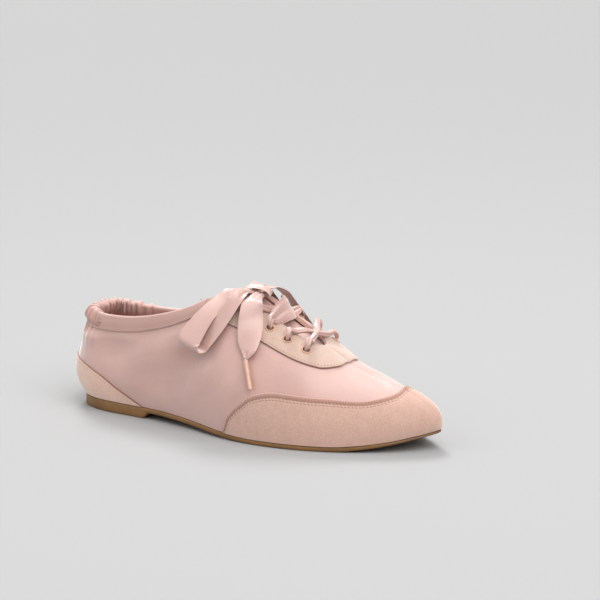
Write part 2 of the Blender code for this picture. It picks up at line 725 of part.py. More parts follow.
flange_low = OVERLAY_HIGH + EYELET_SEAT
flange_high = flange_low + EYELET_FLANGE_THICKNESS
eyelet_profile = (
    (EYELET_BORE_RADIUS, -UPPER_WALL),
    (EYELET_BARREL_RADIUS, -UPPER_WALL),
    (EYELET_BARREL_RADIUS, flange_low),
    (EYELET_FLANGE_RADIUS, flange_low),
    (EYELET_BORE_RADIUS, flange_high),
)
eyelets = {side: eyelet_frames(side) for side in ("lateral", "medial")}
eyelet_material = material("eyelet_enamel", ENAMEL, 0.35, 0.4)
for side, frames in eyelets.items():
    for row, frame in enumerate(frames):
        swept(f"eyelet_{side}_{row + 1}", turned_rings(frame, eyelet_profile), eyelet_material, closed=True)


def cutting_guide(name, made):
    made.name = name
    made.hide_render = True
    made.display_type = "WIRE"
    return made


def boolean(body, operation, other):
    modifier = body.modifiers.new(other.name, "BOOLEAN")
    modifier.operation = operation
    modifier.solver = "EXACT"
    modifier.object = other


drill_points = []
drill_faces = []
for frame in eyelets["lateral"] + eyelets["medial"]:
    drill_radius = EYELET_BARREL_RADIUS + CLEARANCE
    first = len(drill_points)
    for low, high in turned_rings(frame, ((drill_radius, -DRILL_REACH), (drill_radius, DRILL_REACH))):
        drill_points += [low, high]
    lows = [first + 2 * side for side in range(EYELET_SIDES)]
    highs = [low + 1 for low in lows]
    for side in range(EYELET_SIDES):
        after = (side + 1) % EYELET_SIDES
        drill_faces.append([lows[side], lows[after], highs[after], highs[side]])
    drill_faces += [lows[::-1], highs]
drill = closed_object("drill", drill_points, drill_faces, eyelet_material)
cutting_guide("eyelet_drill", drill)
boolean(upper, "DIFFERENCE", drill)
boolean(eyestay, "DIFFERENCE", drill)

# Ribbon: a flat section swept along rows of place, direction across and width

MM = 0.001
RIBBON_SECTION = ((-0.5, 0.0), (-0.43, -0.5), (0.43, -0.5), (0.5, 0.0), (0.43, 0.5), (-0.43, 0.5))


def smooth_rows(rows, count):
    """Rows read evenly from a smooth curve through the given rows."""
    rows = np.array(rows, dtype=float)
    t = np.linspace(0, len(rows) - 1, count)
    k = np.clip(np.floor(t).astype(int), 0, len(rows) - 2)
    t = (t - k)[:, None]
    start, end = rows[k], rows[k + 1]
    leaving = 0.5 * (end - rows[np.maximum(k - 1, 0)])
    arriving = 0.5 * (rows[np.minimum(k + 2, len(rows) - 1)] - start)
    return ((1 + 2 * t) * (1 - t) ** 2 * start + t * t * (3 - 2 * t) * end
            + t * (1 - t) ** 2 * leaving + t * t * (t - 1) * arriving)


def ribbon(name, rows, thickness, count, made_of):
    """A ribbon along rows of x, y, z, the direction across it in three numbers, and its width."""
    path = smooth_rows(rows, count)
    centre, across, width = path[:, :3], path[:, 3:6], path[:, 6:]
    along = np.gradient(centre, axis=0)
    along = along / np.linalg.norm(along, axis=1)[:, None]
    across = across - along * (across * along).sum(axis=1)[:, None]
    across = across / np.linalg.norm(across, axis=1)[:, None]
    face = np.cross(along, across)
    rings = [centre + across * width * a + face * thickness * b for a, b in RIBBON_SECTION]
    return swept(name, np.stack(rings, axis=1), made_of)


ribbon_material = material("ribbon_satin", RIBBON, 0.35)

# Where a lace turns from its eyelet towards the throat: height over the satin, and reach inwards.
EYELET_TURN = table(("height", "reach"), (
    (-0.8, 0.0), (1.2, 0.0), (3.0, 0.0), (4.4, 1.6), (4.8, 4.7),
))
CORD_WIDTHS = (2.4, 2.4, 2.4, 3.4, 4.2)
SPREAD_WIDTHS = (2.4, 2.4, 2.4, 3.4, 5.6)


def from_eyelet(frame, across, widths):
    centre, outward, inward = frame
    rows = []
    for height, reach, width in zip(EYELET_TURN["height"], EYELET_TURN["reach"], widths):
        place = centre + (outward * height + inward * reach) * MM
        rows.append((*place, *across, width * MM))
    return rows


def lace_run(name, start, end, middle, across, widths, thickness, count):
    """A lace between two eyelets. middle has rows of share of the way between the eyelets, forward
    and up from the straight line between them, and width, in millimetres."""
    rows = from_eyelet(start, across, widths)
    for share, forward, up, width in middle:
        place = start[0] + (end[0] - start[0]) * share + np.array([forward, 0.0, up]) * MM
        rows.append((*place, *across, width * MM))
    rows += reversed(from_eyelet(end, across, widths))
    return ribbon(name, rows, thickness, count, ribbon_material)


FIRST_CROSS = ((0.173, 1.9, 4.3, 4.2), (0.352, 2.7, 4.8, 4.2), (0.560, 2.7, 5.0, 4.2), (0.769, 1.2, 5.2, 4.2))
SECOND_CROSS = ((0.209, -1.6, 5.7, 4.2), (0.386, -0.2, 5.7, 4.2), (0.593, 0.9, 4.2, 4.2), (0.800, 1.5, 4.5, 4.2))
REAR_FIRST_CROSS = ((0.242, 3.5, 4.0, 11.0), (0.507, 5.8, 3.6, 14.0), (0.786, 5.2, 4.6, 12.0))
REAR_SECOND_CROSS = ((0.254, -1.1, 7.2, 8.5), (0.513, -1.3, 5.1, 10.0), (0.786, -0.2, 6.0, 9.5))
TOP_BAR = ((0.179, 2.5, 8.0, 4.2), (0.341, 3.0, 6.9, 5.5), (0.541, 2.6, 6.6, 8.0), (0.741, 1.8, 7.1, 7.0),
           (0.906, 0.6, 8.8, 5.0))

lateral, medial = eyelets["lateral"], eyelets["medial"]
front_cross = lace_run("lace_front_cross", lateral[0], medial[1], FIRST_CROSS, (0.90, 0.35, -0.30),
                       CORD_WIDTHS, GATHERED_THICKNESS, 20)
front_cross_over = lace_run("cross_over", lateral[1], medial[0], SECOND_CROSS, (0.90, -0.35, -0.30),
                            CORD_WIDTHS, GATHERED_THICKNESS, 20)
cutting_guide("front_cross_guide", front_cross_over)
boolean(front_cross, "UNION", front_cross_over)
rear_cross = lace_run("lace_rear_cross", lateral[2], medial[3], REAR_FIRST_CROSS, (0.80, 0.30, -0.50),
                      SPREAD_WIDTHS, RIBBON_THICKNESS, 21)
rear_cross_over = lace_run("cross_over", lateral[3], medial[2], REAR_SECOND_CROSS, (0.80, -0.30, -0.50),
                           SPREAD_WIDTHS, RIBBON_THICKNESS, 21)
cutting_guide("rear_cross_guide", rear_cross_over)
boolean(rear_cross, "UNION", rear_cross_over)
lace_run("lace_top_bar", lateral[4], medial[4], TOP_BAR, (0.84, 0.0, -0.54), CORD_WIDTHS, RIBBON_THICKNESS, 20)

# Bow: rows of forward, medial and up from the middle between the top eyelets, then the direction
# across the ribbon, then its width, in millimetres.
LATERAL_LOOP = (
    (-0.1, -5.2, 10.6, 0.94, -0.10, -0.25, 6.0),
    (-1.9, -8.8, 11.0, 0.94, -0.10, -0.25, 7.0),
    (-4.8, -14.3, 11.1, 0.94, -0.10, -0.25, 8.0),
    (-6.9, -20.3, 6.8, 0.94, -0.10, -0.32, 11.0),
    (-11.1, -31.3, -1.3, 0.94, -0.10, -0.32, 13.0),
    (-16.0, -40.0, -12.9, 0.94, -0.10, -0.32, 15.5),
    (-16.7, -42.5, -17.5, 0.94, -0.10, -0.32, 16.0),
    (-15.7, -42.5, -19.9, 0.94, -0.10, -0.32, 16.0),
    (-13.5, -40.7, -20.1, 0.94, -0.10, -0.32, 15.5),
    (-9.9, -37.9, -17.1, 0.94, -0.10, -0.32, 14.0),
    (-1.9, -31.3, -4.7, 0.94, -0.10, -0.32, 10.5),
    (4.9, -21.6, 8.6, 0.94, -0.10, -0.32, 7.5),
    (4.4, -12.8, 11.6, 0.94, -0.10, -0.25, 6.0),
    (3.9, -5.6, 9.8, 0.94, -0.10, -0.25, 5.5),
)
LATERAL_TAIL = (
    (9.6, -4.8, 8.2, 0.90, 0.30, -0.30, 6.0),
    (11.8, -10.8, 7.9, 0.84, 0.48, -0.10, 8.0),
    (13.9, -18.2, 6.2, 0.77, 0.63, 0.20, 12.5),
    (15.8, -23.2, -3.7, 0.64, 0.74, 0.20, 15.0),
    (19.1, -29.9, -12.9, 0.83, 0.50, 0.12, 14.0),
    (21.1, -33.9, -18.9, 0.90, 0.35, 0.10, 10.0),
    (21.1, -36.5, -23.5, 0.90, 0.35, 0.10, 3.4),
)
MEDIAL_LOOP = (
    (5.9, 11.3, 9.7, 0.50, -0.30, -0.80, 6.0),
    (8.6, 17.7, 9.1, 0.35, -0.20, -0.90, 7.5),
    (12.2, 24.0, 4.9, 0.25, -0.10, -0.96, 8.5),
    (18.6, 26.2, -3.6, 0.20, 0.00, -0.98, 11.5),
    (22.1, 29.9, -11.1, 0.20, 0.00, -0.98, 13.0),
    (23.7, 32.3, -16.5, 0.20, 0.00, -0.98, 14.0),
    (23.0, 34.3, -17.5, 0.20, 0.00, -0.98, 14.0),
    (21.1, 34.3, -13.6, 0.20, 0.00, -0.98, 14.0),
    (17.1, 31.9, -7.6, 0.20, 0.00, -0.98, 13.0),
    (11.1, 27.1, 0.4, 0.20, -0.05, -0.97, 10.5),
    (5.6, 21.2, 6.7, 0.35, -0.20, -0.90, 8.0),
    (2.7, 14.2, 9.3, 0.50, -0.30, -0.80, 6.0),
)
MEDIAL_TAIL = (
    (-2.4, 10.2, 10.7, 0.90, 0.30, -0.20, 5.5),
    (-3.9, 18.2, 10.1, 0.95, 0.20, -0.15, 8.5),
    (-5.5, 26.7, 4.9, 0.97, 0.05, -0.15, 12.5),
    (-5.9, 33.5, -6.6, 0.98, 0.05, -0.10, 15.0),
    (-4.9, 36.9, -19.1, 0.98, 0.10, 0.00, 12.0),
    (-3.4, 38.9, -25.6, 0.98, 0.10, 0.00, 3.4),
)
AGLET_ENDS = {
    "lateral": ((21.2, -37.3, -24.7), (27.6, -42.1, -40.6)),
    "medial": ((-3.2, 39.0, -26.3), (0.6, 39.9, -43.8)),
}
KNOT_CENTRE = (2.9, 2.7, 7.3)
KNOT_ALONG_BAR = (-0.35, 0.93, 0.10)
KNOT_HALF_SIZE = (9.2, 4.6)
KNOT_WIDTH = 8.8
KNOT_OPEN_ANGLE = 0.15
KNOT_TILT = 0.06

bow_anchor = 0.5 * (lateral[-1][0] + medial[-1][0])


def from_anchor(rows):
    return [(*(bow_anchor + np.array(row[:3]) * MM), *row[3:6], row[6] * MM) for row in rows]


ribbon("bow_loop_lateral", from_anchor(LATERAL_LOOP), RIBBON_THICKNESS, 32, ribbon_material)
ribbon("bow_loop_medial", from_anchor(MEDIAL_LOOP), RIBBON_THICKNESS, 28, ribbon_material)
ribbon("bow_tail_lateral", from_anchor(LATERAL_TAIL), RIBBON_THICKNESS, 17, ribbon_material)
ribbon("bow_tail_medial", from_anchor(MEDIAL_TAIL), RIBBON_THICKNESS, 15, ribbon_material)


def unit(vector):
    return vector / np.linalg.norm(vector)


def knot_rows():
    """The wrap of the knot: an arch of ribbon over the bar and the bow's four roots."""
    axis = unit(np.array(KNOT_ALONG_BAR))
    level = unit(np.cross(axis, (0.0, 0.0, 1.0)))
    upward = unit(np.cross(level, axis))
    toward = level * math.cos(KNOT_TILT) - upward * math.sin(KNOT_TILT)
    raised = unit(np.cross(toward, axis))
    rows = []
    for angle in np.linspace(-KNOT_OPEN_ANGLE, math.pi + KNOT_OPEN_ANGLE, 13):
        reach = toward * math.cos(angle) * KNOT_HALF_SIZE[0] + raised * math.sin(angle) * KNOT_HALF_SIZE[1]
        rows.append((*(np.array(KNOT_CENTRE) + reach), *axis, KNOT_WIDTH))
    return rows


ribbon("bow_knot", from_anchor(knot_rows()), KNOT_THICKNESS, 13, ribbon_material)

aglet_material = material("aglet_plastic", ENAMEL, 0.3)
for side, ends in AGLET_ENDS.items():
    start, end = [bow_anchor + np.array(place) * MM for place in ends]
    axis = unit(end - start)
    across = unit(np.cross(axis, (0.0, 0.0, 1.0)))
    raised = np.cross(axis, across)
    angles = 2 * math.pi * np.arange(8) / 8
    circle = np.outer(np.cos(angles), across) + np.outer(np.sin(angles), raised)
    swept(f"aglet_{side}", [start + circle * AGLET_RADIUS, end + circle * AGLET_RADIUS], aglet_material)
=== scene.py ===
"""Ballet sneaker, right shoe: the looks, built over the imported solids.

Frame, in metres: +X towards the toe, +Y towards the medial side, +Z up.
"""

import math

import bmesh
import bpy
import numpy as np
from mathutils import Matrix, Vector


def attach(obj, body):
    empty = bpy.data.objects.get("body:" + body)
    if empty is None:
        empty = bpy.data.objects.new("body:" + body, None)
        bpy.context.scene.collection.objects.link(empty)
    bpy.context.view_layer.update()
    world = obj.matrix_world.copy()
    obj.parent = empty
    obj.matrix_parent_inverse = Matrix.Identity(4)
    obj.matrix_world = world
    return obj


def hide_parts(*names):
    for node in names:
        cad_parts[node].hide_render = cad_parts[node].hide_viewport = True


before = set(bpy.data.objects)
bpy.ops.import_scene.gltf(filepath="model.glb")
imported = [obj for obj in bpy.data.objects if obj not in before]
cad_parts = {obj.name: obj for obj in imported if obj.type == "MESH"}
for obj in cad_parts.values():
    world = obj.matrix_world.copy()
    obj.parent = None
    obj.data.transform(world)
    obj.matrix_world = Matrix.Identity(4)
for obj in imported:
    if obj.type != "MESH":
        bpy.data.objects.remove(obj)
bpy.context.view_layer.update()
scene = bpy.context.scene
scene.view_settings.view_transform = "Standard"

# Camera, at the photograph's angle
view_along = Vector((-0.518, 0.829, -0.208)).normalized()
view_right = Vector((0.848, 0.530, 0.0)).normalized()
view_up = view_right.cross(view_along)
view_aim = Vector((0.096, 0.0, 0.030))
camera_data = bpy.data.cameras.new("camera")
camera_data.sensor_width = 36.0
camera_data.lens = 136.1
camera_data.clip_start = 0.05
camera = bpy.data.objects.new("camera", camera_data)
scene.collection.objects.link(camera)
CAMERA_DISTANCE = 1.400
FRAME_SHIFT_RIGHT = 0.02759
FRAME_SHIFT_UP = 0.04691
turn = Matrix((view_right, view_up, -view_along)).transposed().to_4x4()
camera_place = (view_aim - CAMERA_DISTANCE * view_along + FRAME_SHIFT_RIGHT * view_right
                + FRAME_SHIFT_UP * view_up)
camera.matrix_world = Matrix.Translation(camera_place) @ turn
scene.camera = camera

# Sole
SHOE_LENGTH = 0.250
BALL_WIDTH = 0.079
HEEL_REST_ALONG = 0.029
HEEL_SOLE_HEIGHT = 0.0072
FOREPART_SOLE_THICKNESS = 0.0030
TOE_SOLE_THICKNESS = 0.0020
WAIST_SOLE_THICKNESS = 0.0028
WAIST_RISE = 0.0040
TOE_SPRING = 0.0098
HEEL_BREAST_ALONG = 0.058
HEEL_BREAST_RUN = 0.006
FOREFOOT_REST_FROM = 0.150
FOREFOOT_REST_TO = 0.196

# Upper, over the last
INSTEP_HEIGHT = 0.0823
COLLAR_WIDTH = 0.050
UPPER_WALL = 0.0015
INNER_FACE = -UPPER_WALL
FEATHER_INSET = 0.0009
BELLY_SKEW = 0.9
CREST_ROUNDING = 0.0045
# Stations between which the crease beside the throat's front is drawn out, and the run that it is
# read over at each end
CREASE_FROM = 9.55
CREASE_TO = 10.45
CREASE_LEAD = 0.1

# Overlays, collar and tongue. OVERLAY_FACE is the height of an overlay's face over the satin.
OVERLAY_FACE = 0.0011
SEAM_PIPING_WIDTH = 0.0022
BINDING_WIDTH = 0.0095
GATHER_LATERAL_STATION = 2.45
GATHER_MEDIAL_STATION = 3.2
BAND_END = 6.3
TONGUE_GAP = 0.0012
TONGUE_SAG = 0.0035

# Eyelets and lace
EYELET_ROWS = 5
EYELET_SPACING = 0.0136
EYELET_FROM_EDGE = 0.0125
EYELET_FIRST_STATION = 9.55
EYELET_SEARCH_STATION = 6.0
HOLE_RADIUS = 0.0026
AGLET_RADIUS = 0.0014

# Gap between neighbours that touch on the real shoe
CLEARANCE = 0.0003
MM = 0.001
SIDES = ("lateral", "medial")


def table(columns, rows):
    """The rows of a table as one array for each named column."""
    values = np.array(rows, dtype=float)
    return {name: values[:, place] for place, name in enumerate(columns)}


def hermite(t, start, end, leaving, arriving):
    """Smooth curve from start to end as t goes from 0 to 1, with its slopes at both."""
    return ((1 + 2 * t) * (1 - t) ** 2 * start + t * t * (3 - 2 * t) * end
            + t * (1 - t) ** 2 * leaving + t * t * (t - 1) * arriving)


# Stations run from the heel's back (row 0) to the toe's tip (last row).
# Sole outline: along in shares of SHOE_LENGTH, half widths in shares of BALL_WIDTH.
SOLE = table(("along", "lateral", "medial"), (
    (0.000, 0.000, 0.000),
    (0.016, 0.165, 0.165),
    (0.052, 0.272, 0.272),
    (0.116, 0.335, 0.342),
    (0.212, 0.355, 0.352),
    (0.316, 0.395, 0.318),
    (0.412, 0.452, 0.292),
    (0.500, 0.520, 0.300),
    (0.592, 0.550, 0.362),
    (0.680, 0.526, 0.440),
    (0.764, 0.456, 0.468),
    (0.844, 0.342, 0.446),
    (0.912, 0.209, 0.366),
    (0.968, 0.052, 0.230),
    (1.000, -0.114, 0.114),
))

# Top line of the upper: collar, throat edges, then the ridge of the vamp.
# along in shares of SHOE_LENGTH, centre and half in shares of COLLAR_WIDTH, heights of INSTEP_HEIGHT.
TOP = table(("along", "centre", "half", "lateral_height", "medial_height"), (
    (0.034, 0.00, 0.00, 0.759, 0.759),
    (0.042, 0.00, 0.22, 0.756, 0.756),
    (0.068, 0.00, 0.36, 0.746, 0.739),
    (0.126, 0.01, 0.45, 0.744, 0.717),
    (0.212, 0.02, 0.50, 0.766, 0.713),
    (0.308, 0.03, 0.51, 0.832, 0.769),
    (0.392, 0.05, 0.47, 0.930, 0.886),
    (0.462, 0.05, 0.32, 1.000, 0.971),
    (0.548, 0.05, 0.20, 0.888, 0.888),
    (0.628, 0.05, 0.19, 0.759, 0.759),
    (0.696, 0.04, 0.00, 0.666, 0.666),
    (0.748, 0.06, 0.00, 0.592, 0.592),
    (0.784, 0.08, 0.00, 0.547, 0.547),
    (0.808, 0.09, 0.00, 0.518, 0.518),
    (0.816, 0.09, 0.00, 0.510, 0.510),
))

# Fullness of the wall between sole and top line: round is 0 for a straight wall and 1 for a quarter
# ellipse; the bellies are in shares of BALL_WIDTH.
FULLNESS = table(("round", "lateral_belly", "medial_belly"), (
    (0.00, 0.100, 0.100),
    (0.00, 0.086, 0.086),
    (0.00, 0.062, 0.062),
    (0.05, 0.040, 0.040),
    (0.10, 0.035, 0.045),
    (0.18, 0.035, 0.060),
    (0.30, 0.030, 0.070),
    (0.50, 0.020, 0.060),
    (0.70, 0.010, 0.040),
    (0.88, 0.005, 0.020),
    (1.00, 0.004, 0.006),
    (1.00, 0.008, 0.002),
    (1.00, 0.014, 0.006),
    (1.00, 0.024, 0.020),
    (1.00, 0.030, 0.030),
))

LAST_STATION = len(SOLE["along"]) - 1
LOOP = 2 * LAST_STATION
THROAT_FRONT = 10
THROAT_ROUND_FROM = 9


class LoopCurve:
    """Smooth closed curve through a value at each station: out along the lateral side, back along
    the medial side. It is curvature-smooth, or shape-keeping where hold is true."""

    def __init__(self, lateral, medial, hold=False):
        self.values = np.concatenate([lateral, medial[-2:0:-1]])
        steps = np.roll(self.values, -1) - self.values
        before = np.roll(steps, 1)
        if hold:
            same_way = before * steps > 0
            total = np.where(same_way, before + steps, 1.0)
            self.slopes = np.where(same_way, 2.0 * before * steps / total, 0.0)
        else:
            one = np.eye(len(self.values))
            spread = 4.0 * one + np.roll(one, 1, axis=1) + np.roll(one, -1, axis=1)
            self.slopes = np.linalg.solve(spread, 3.0 * (before + steps))

    def at(self, w):
        w = np.mod(w, len(self.values))
        first = np.floor(w).astype(int) % len(self.values)
        second = (first + 1) % len(self.values)
        return hermite(w - np.floor(w), self.values[first], self.values[second],
                       self.slopes[first], self.slopes[second])


def even(values, hold=False):
    """The same curve on both sides."""
    return LoopCurve(values, values, hold)


sole_along = even(SOLE["along"] * SHOE_LENGTH)
sole_across = LoopCurve(-SOLE["lateral"] * BALL_WIDTH, SOLE["medial"] * BALL_WIDTH)
top_along = even(TOP["along"] * SHOE_LENGTH)
top_centre = even(TOP["centre"] * COLLAR_WIDTH)
top_half = LoopCurve(-TOP["half"] * COLLAR_WIDTH, TOP["half"] * COLLAR_WIDTH, hold=True)
top_height = LoopCurve(TOP["lateral_height"] * INSTEP_HEIGHT, TOP["medial_height"] * INSTEP_HEIGHT)
roundness = even(FULLNESS["round"], hold=True)
belly = LoopCurve(FULLNESS["lateral_belly"] * BALL_WIDTH, FULLNESS["medial_belly"] * BALL_WIDTH)


def station(w):
    """Station of a place on the loop, from 0 at the heel to LAST_STATION at the toe."""
    w = np.mod(w, LOOP)
    return np.where(w <= LAST_STATION, w, LOOP - w)


def side_sign(w):
    """-1 on the lateral side and +1 on the medial side."""
    return np.where(np.mod(w, LOOP) <= LAST_STATION, -1.0, 1.0)


def smooth_step(value, low, high):
    """0 below low and 1 above high, with an even rise between them."""
    t = np.clip((value - low) / (high - low), 0.0, 1.0)
    return t * t * (3.0 - 2.0 * t)


def paired(w, v):
    """w and v as arrays of one shape."""
    return np.broadcast_arrays(np.asarray(w, dtype=float), np.asarray(v, dtype=float))


def sole_bottom(along):
    """Height of the sole's underside: heel block, raised waist, flat forefoot and toe spring."""
    waist = WAIST_RISE * smooth_step(along, HEEL_BREAST_ALONG, HEEL_BREAST_ALONG + HEEL_BREAST_RUN)
    lowered = 1.0 - smooth_step(along, HEEL_BREAST_ALONG + 2 * HEEL_BREAST_RUN, FOREFOOT_REST_FROM)
    spring = np.clip((along - FOREFOOT_REST_TO) / (SHOE_LENGTH - FOREFOOT_REST_TO), 0.0, None)
    return waist * lowered + TOE_SPRING * spring ** 1.7


def sole_top(along):
    """Height of the surface that the upper stands on."""
    heel = HEEL_SOLE_HEIGHT
    waist_start = HEEL_BREAST_ALONG + HEEL_BREAST_RUN
    fall = smooth_step(along, 0.6 * HEEL_BREAST_ALONG, FOREFOOT_REST_FROM)
    thickness = WAIST_SOLE_THICKNESS + (FOREPART_SOLE_THICKNESS - WAIST_SOLE_THICKNESS) * fall
    thin = smooth_step(along, FOREFOOT_REST_TO, SHOE_LENGTH)
    thickness = thickness + (TOE_SOLE_THICKNESS - FOREPART_SOLE_THICKNESS) * thin
    over_waist = sole_bottom(np.maximum(along, waist_start)) + thickness
    return heel + (over_waist - heel) * smooth_step(along, 0.5 * HEEL_BREAST_ALONG, 1.6 * HEEL_BREAST_ALONG)


def outline_normal(w):
    """Outward direction of the sole's outline in plan."""
    step = 0.01
    run_x = sole_along.at(w + step) - sole_along.at(w - step)
    run_y = sole_across.at(w + step) - sole_across.at(w - step)
    length = np.hypot(run_x, run_y)
    return run_y / length, -run_x / length


def outline(w, inset):
    """Sole outline in plan, moved inwards by inset."""
    out_x, out_y = outline_normal(w)
    return sole_along.at(w) - out_x * inset, sole_across.at(w) - out_y * inset


def top_point(w):
    """Top line of the upper, with the throat's round front end."""
    s = station(w)
    rounding = np.sqrt(np.clip(1.0 - (s - THROAT_ROUND_FROM) ** 2, 0.0, 1.0))
    at_round = side_sign(w) * TOP["half"][THROAT_ROUND_FROM] * COLLAR_WIDTH * rounding
    half = np.where(s <= THROAT_ROUND_FROM, top_half.at(w), np.where(s < THROAT_FRONT, at_round, 0.0))
    return top_along.at(w), top_centre.at(w) + half, top_height.at(w)


def ridge_slope(w):
    """Rise of the vamp's ridge for each metre towards the toe."""
    s = np.clip(station(w), THROAT_FRONT, LAST_STATION - 0.2)
    step = 0.05
    rise = top_height.at(s + step) - top_height.at(s - step)
    run = top_along.at(s + step) - top_along.at(s - step)
    return rise / run


def wall_face(w, v):
    """Outer face of the satin as the solid has it, with a crease beside the throat's front."""
    w, v = paired(w, v)
    base_x, base_y = outline(w, FEATHER_INSET)
    base_z = sole_top(base_x) + CLEARANCE
    top_x, top_y, top_z = top_point(w)
    angle = v * math.pi / 2
    share = roundness.at(w)
    across = share * (1 - np.cos(angle)) + (1 - share) * v ** 2
    up = share * np.sin(angle) + (1 - share) * v
    rise = top_z - base_z
    end_slope = share * ridge_slope(w) * (top_x - base_x) * math.pi / 2
    ridge_blend = smooth_step(station(w), THROAT_ROUND_FROM - 2, THROAT_FRONT)
    lean = end_slope * ridge_blend * v * v * (v - 1)
    out_x, out_y = outline_normal(w)
    bulge = belly.at(w) * np.sin(math.pi * v * (1 + BELLY_SKEW) / (1 + BELLY_SKEW * v))
    x = base_x + (top_x - base_x) * across + out_x * bulge
    y = base_y + (top_y - base_y) * across + out_y * bulge
    z = base_z + rise * up + lean
    return np.stack([x, y, z], axis=-1)


def upper_surface(w, v):
    """Outer face of the satin: v is 0 at the sole and 1 at the top line or the vamp's ridge. Under the
    facings the crease beside the throat's front is drawn out smooth."""
    w, v = paired(w, v)
    face = rounded_crest(w, v, wall_face(w, v))
    s = station(w)
    near = (s > CREASE_FROM) & (s < CREASE_TO)
    if not near.any():
        return face
    lateral = side_sign(w[near]) < 0
    places = (CREASE_FROM - CREASE_LEAD, CREASE_FROM, CREASE_TO, CREASE_TO + CREASE_LEAD)
    ends = [wall_face(np.where(lateral, place, LOOP - place), v[near]) for place in places]
    span = CREASE_TO - CREASE_FROM
    t = ((s[near] - CREASE_FROM) / span)[:, None]
    smooth = hermite(t, ends[1], ends[2], (ends[1] - ends[0]) * span / CREASE_LEAD,
                     (ends[3] - ends[2]) * span / CREASE_LEAD)
    weight = (1.0 - smooth_step(v[near], 0.62, 0.90))[:, None]
    face[near] = smooth * weight + face[near] * (1.0 - weight)
    return face


def rounded_crest(w, v, face):
    """The two sides of the vamp meet in a crest on the solid: here it is rounded off."""
    on_vamp = station(w) > THROAT_FRONT
    if not on_vamp.any():
        return face
    ridge = wall_face(w[on_vamp], 1.0)
    drop = ridge - wall_face(w[on_vamp], 0.97)
    fall = drop[:, 2] / np.maximum(np.linalg.norm(drop[:, :2], axis=1), 1e-6)
    away = np.abs(face[on_vamp][:, 1] - ridge[:, 1])
    weight = smooth_step(station(w[on_vamp]), THROAT_FRONT, THROAT_FRONT + 1.0)
    face = face.copy()
    face[on_vamp, 2] -= np.clip(fall, 0.0, 0.6) * weight * (np.hypot(away, CREST_ROUNDING) - away)
    return face


def side_normal(w, v):
    """Outward direction of one side's face, read just short of its top line."""
    w, v = paired(w, v)
    v = np.clip(v, 0.004, 0.985)
    along = upper_surface(w + 0.02, v) - upper_surface(w - 0.02, v)
    upward = upper_surface(w, v + 0.004) - upper_surface(w, v - 0.004)
    normal = np.cross(along, upward)
    return normal / np.linalg.norm(normal, axis=-1, keepdims=True)


def upper_normal(w, v):
    """Outward direction of the upper's face; along the vamp's ridge both sides share one direction."""
    w, v = paired(w, v)
    normal = side_normal(w, v)
    on_vamp = (station(w) > THROAT_FRONT) & (v > 0.85)
    if on_vamp.any():
        share = 0.5 * smooth_step(v[on_vamp], 0.85, 1.0)[:, None]
        other = side_normal(LOOP - np.mod(w[on_vamp], LOOP), v[on_vamp])
        normal[on_vamp] = normal[on_vamp] * (1.0 - share) + other * share
        normal /= np.linalg.norm(normal, axis=-1, keepdims=True)
    return normal


def upper_point(w, v, out):
    """Place at a distance out from the upper's outer face, above the sole, in the part's frame."""
    place = upper_surface(w, v) + upper_normal(w, v) * np.asarray(out)[..., None]
    floor = sole_top(np.clip(place[..., 0], 0.0, SHOE_LENGTH)) + CLEARANCE
    place[..., 2] = np.maximum(place[..., 2], floor)
    return place - np.array([HEEL_REST_ALONG, 0.0, 0.0])


def there_and_back(side):
    """Stations along the lateral side and back along the medial side."""
    return np.concatenate([side, LOOP - side[-2::-1]])


def measured_length(w):
    """Length of the upper's wall from the sole to the top line."""
    w = np.atleast_1d(np.asarray(w, dtype=float))
    places = upper_surface(w[:, None], np.linspace(0, 1, 25)[None, :])
    return np.linalg.norm(np.diff(places, axis=1), axis=-1).sum(axis=1)


# Columns of the satin: closer together where the throat ends
fine_loop = there_and_back(np.concatenate([
    np.arange(0, 9, 0.06), np.arange(9, 9.9, 0.03), np.linspace(9.9, 10, 9)[:-1],
    np.arange(10, 13.2, 0.06), np.linspace(13.2, LAST_STATION, 20),
]))
fine_length = measured_length(fine_loop)
MOST_MEASURED = 4000


def wall_length(w):
    """Length of the upper's wall. It is slow to measure, so many places are read between columns."""
    w = np.atleast_1d(np.asarray(w, dtype=float))
    if w.size > MOST_MEASURED:
        return np.interp(np.mod(w, LOOP), fine_loop, fine_length)
    return measured_length(w)


# Edges as station along the shoe and share of the wall's height.
MUDGUARD_SEAM = table(("station", "height"), (
    (7.18, 0.020), (7.35, 0.110), (7.70, 0.200), (8.15, 0.285), (8.80, 0.340), (9.80, 0.366),
    (10.6, 0.400), (11.4, 0.428), (12.3, 0.515), (13.1, 0.620), (13.6, 0.678), (14.0, 0.690),
))
COUNTER_EDGE = table(("station", "height"), (
    (0.00, 0.460), (1.00, 0.450), (2.00, 0.410), (2.90, 0.305), (3.50, 0.170), (4.20, 0.012),
))
EYESTAY_EDGE = table(("station", "height"), (
    (6.12, 1.000), (6.50, 0.870), (7.17, 0.712), (8.10, 0.680), (9.50, 0.653), (9.98, 0.660),
    (10.22, 0.688), (10.45, 0.735), (10.75, 0.810), (10.98, 0.895), (11.17, 0.950), (11.35, 1.000),
))


def smooth_table(place, places, values):
    """Shape-keeping smooth curve through a table's rows."""
    gaps = np.diff(places)
    rates = np.diff(values) / gaps
    same_way = rates[:-1] * rates[1:] > 0
    total = np.where(same_way, rates[:-1] + rates[1:], 1.0)
    slopes = np.where(same_way, 2.0 * rates[:-1] * rates[1:] / total, 0.0)
    slopes = np.concatenate([[rates[0]], slopes, [rates[-1]]])
    place = np.clip(place, places[0], places[-1])
    k = np.clip(np.searchsorted(places, place, side="right") - 1, 0, len(gaps) - 1)
    t = (place - places[k]) / gaps[k]
    return hermite(t, values[k], values[k + 1], gaps[k] * slopes[k], gaps[k] * slopes[k + 1])


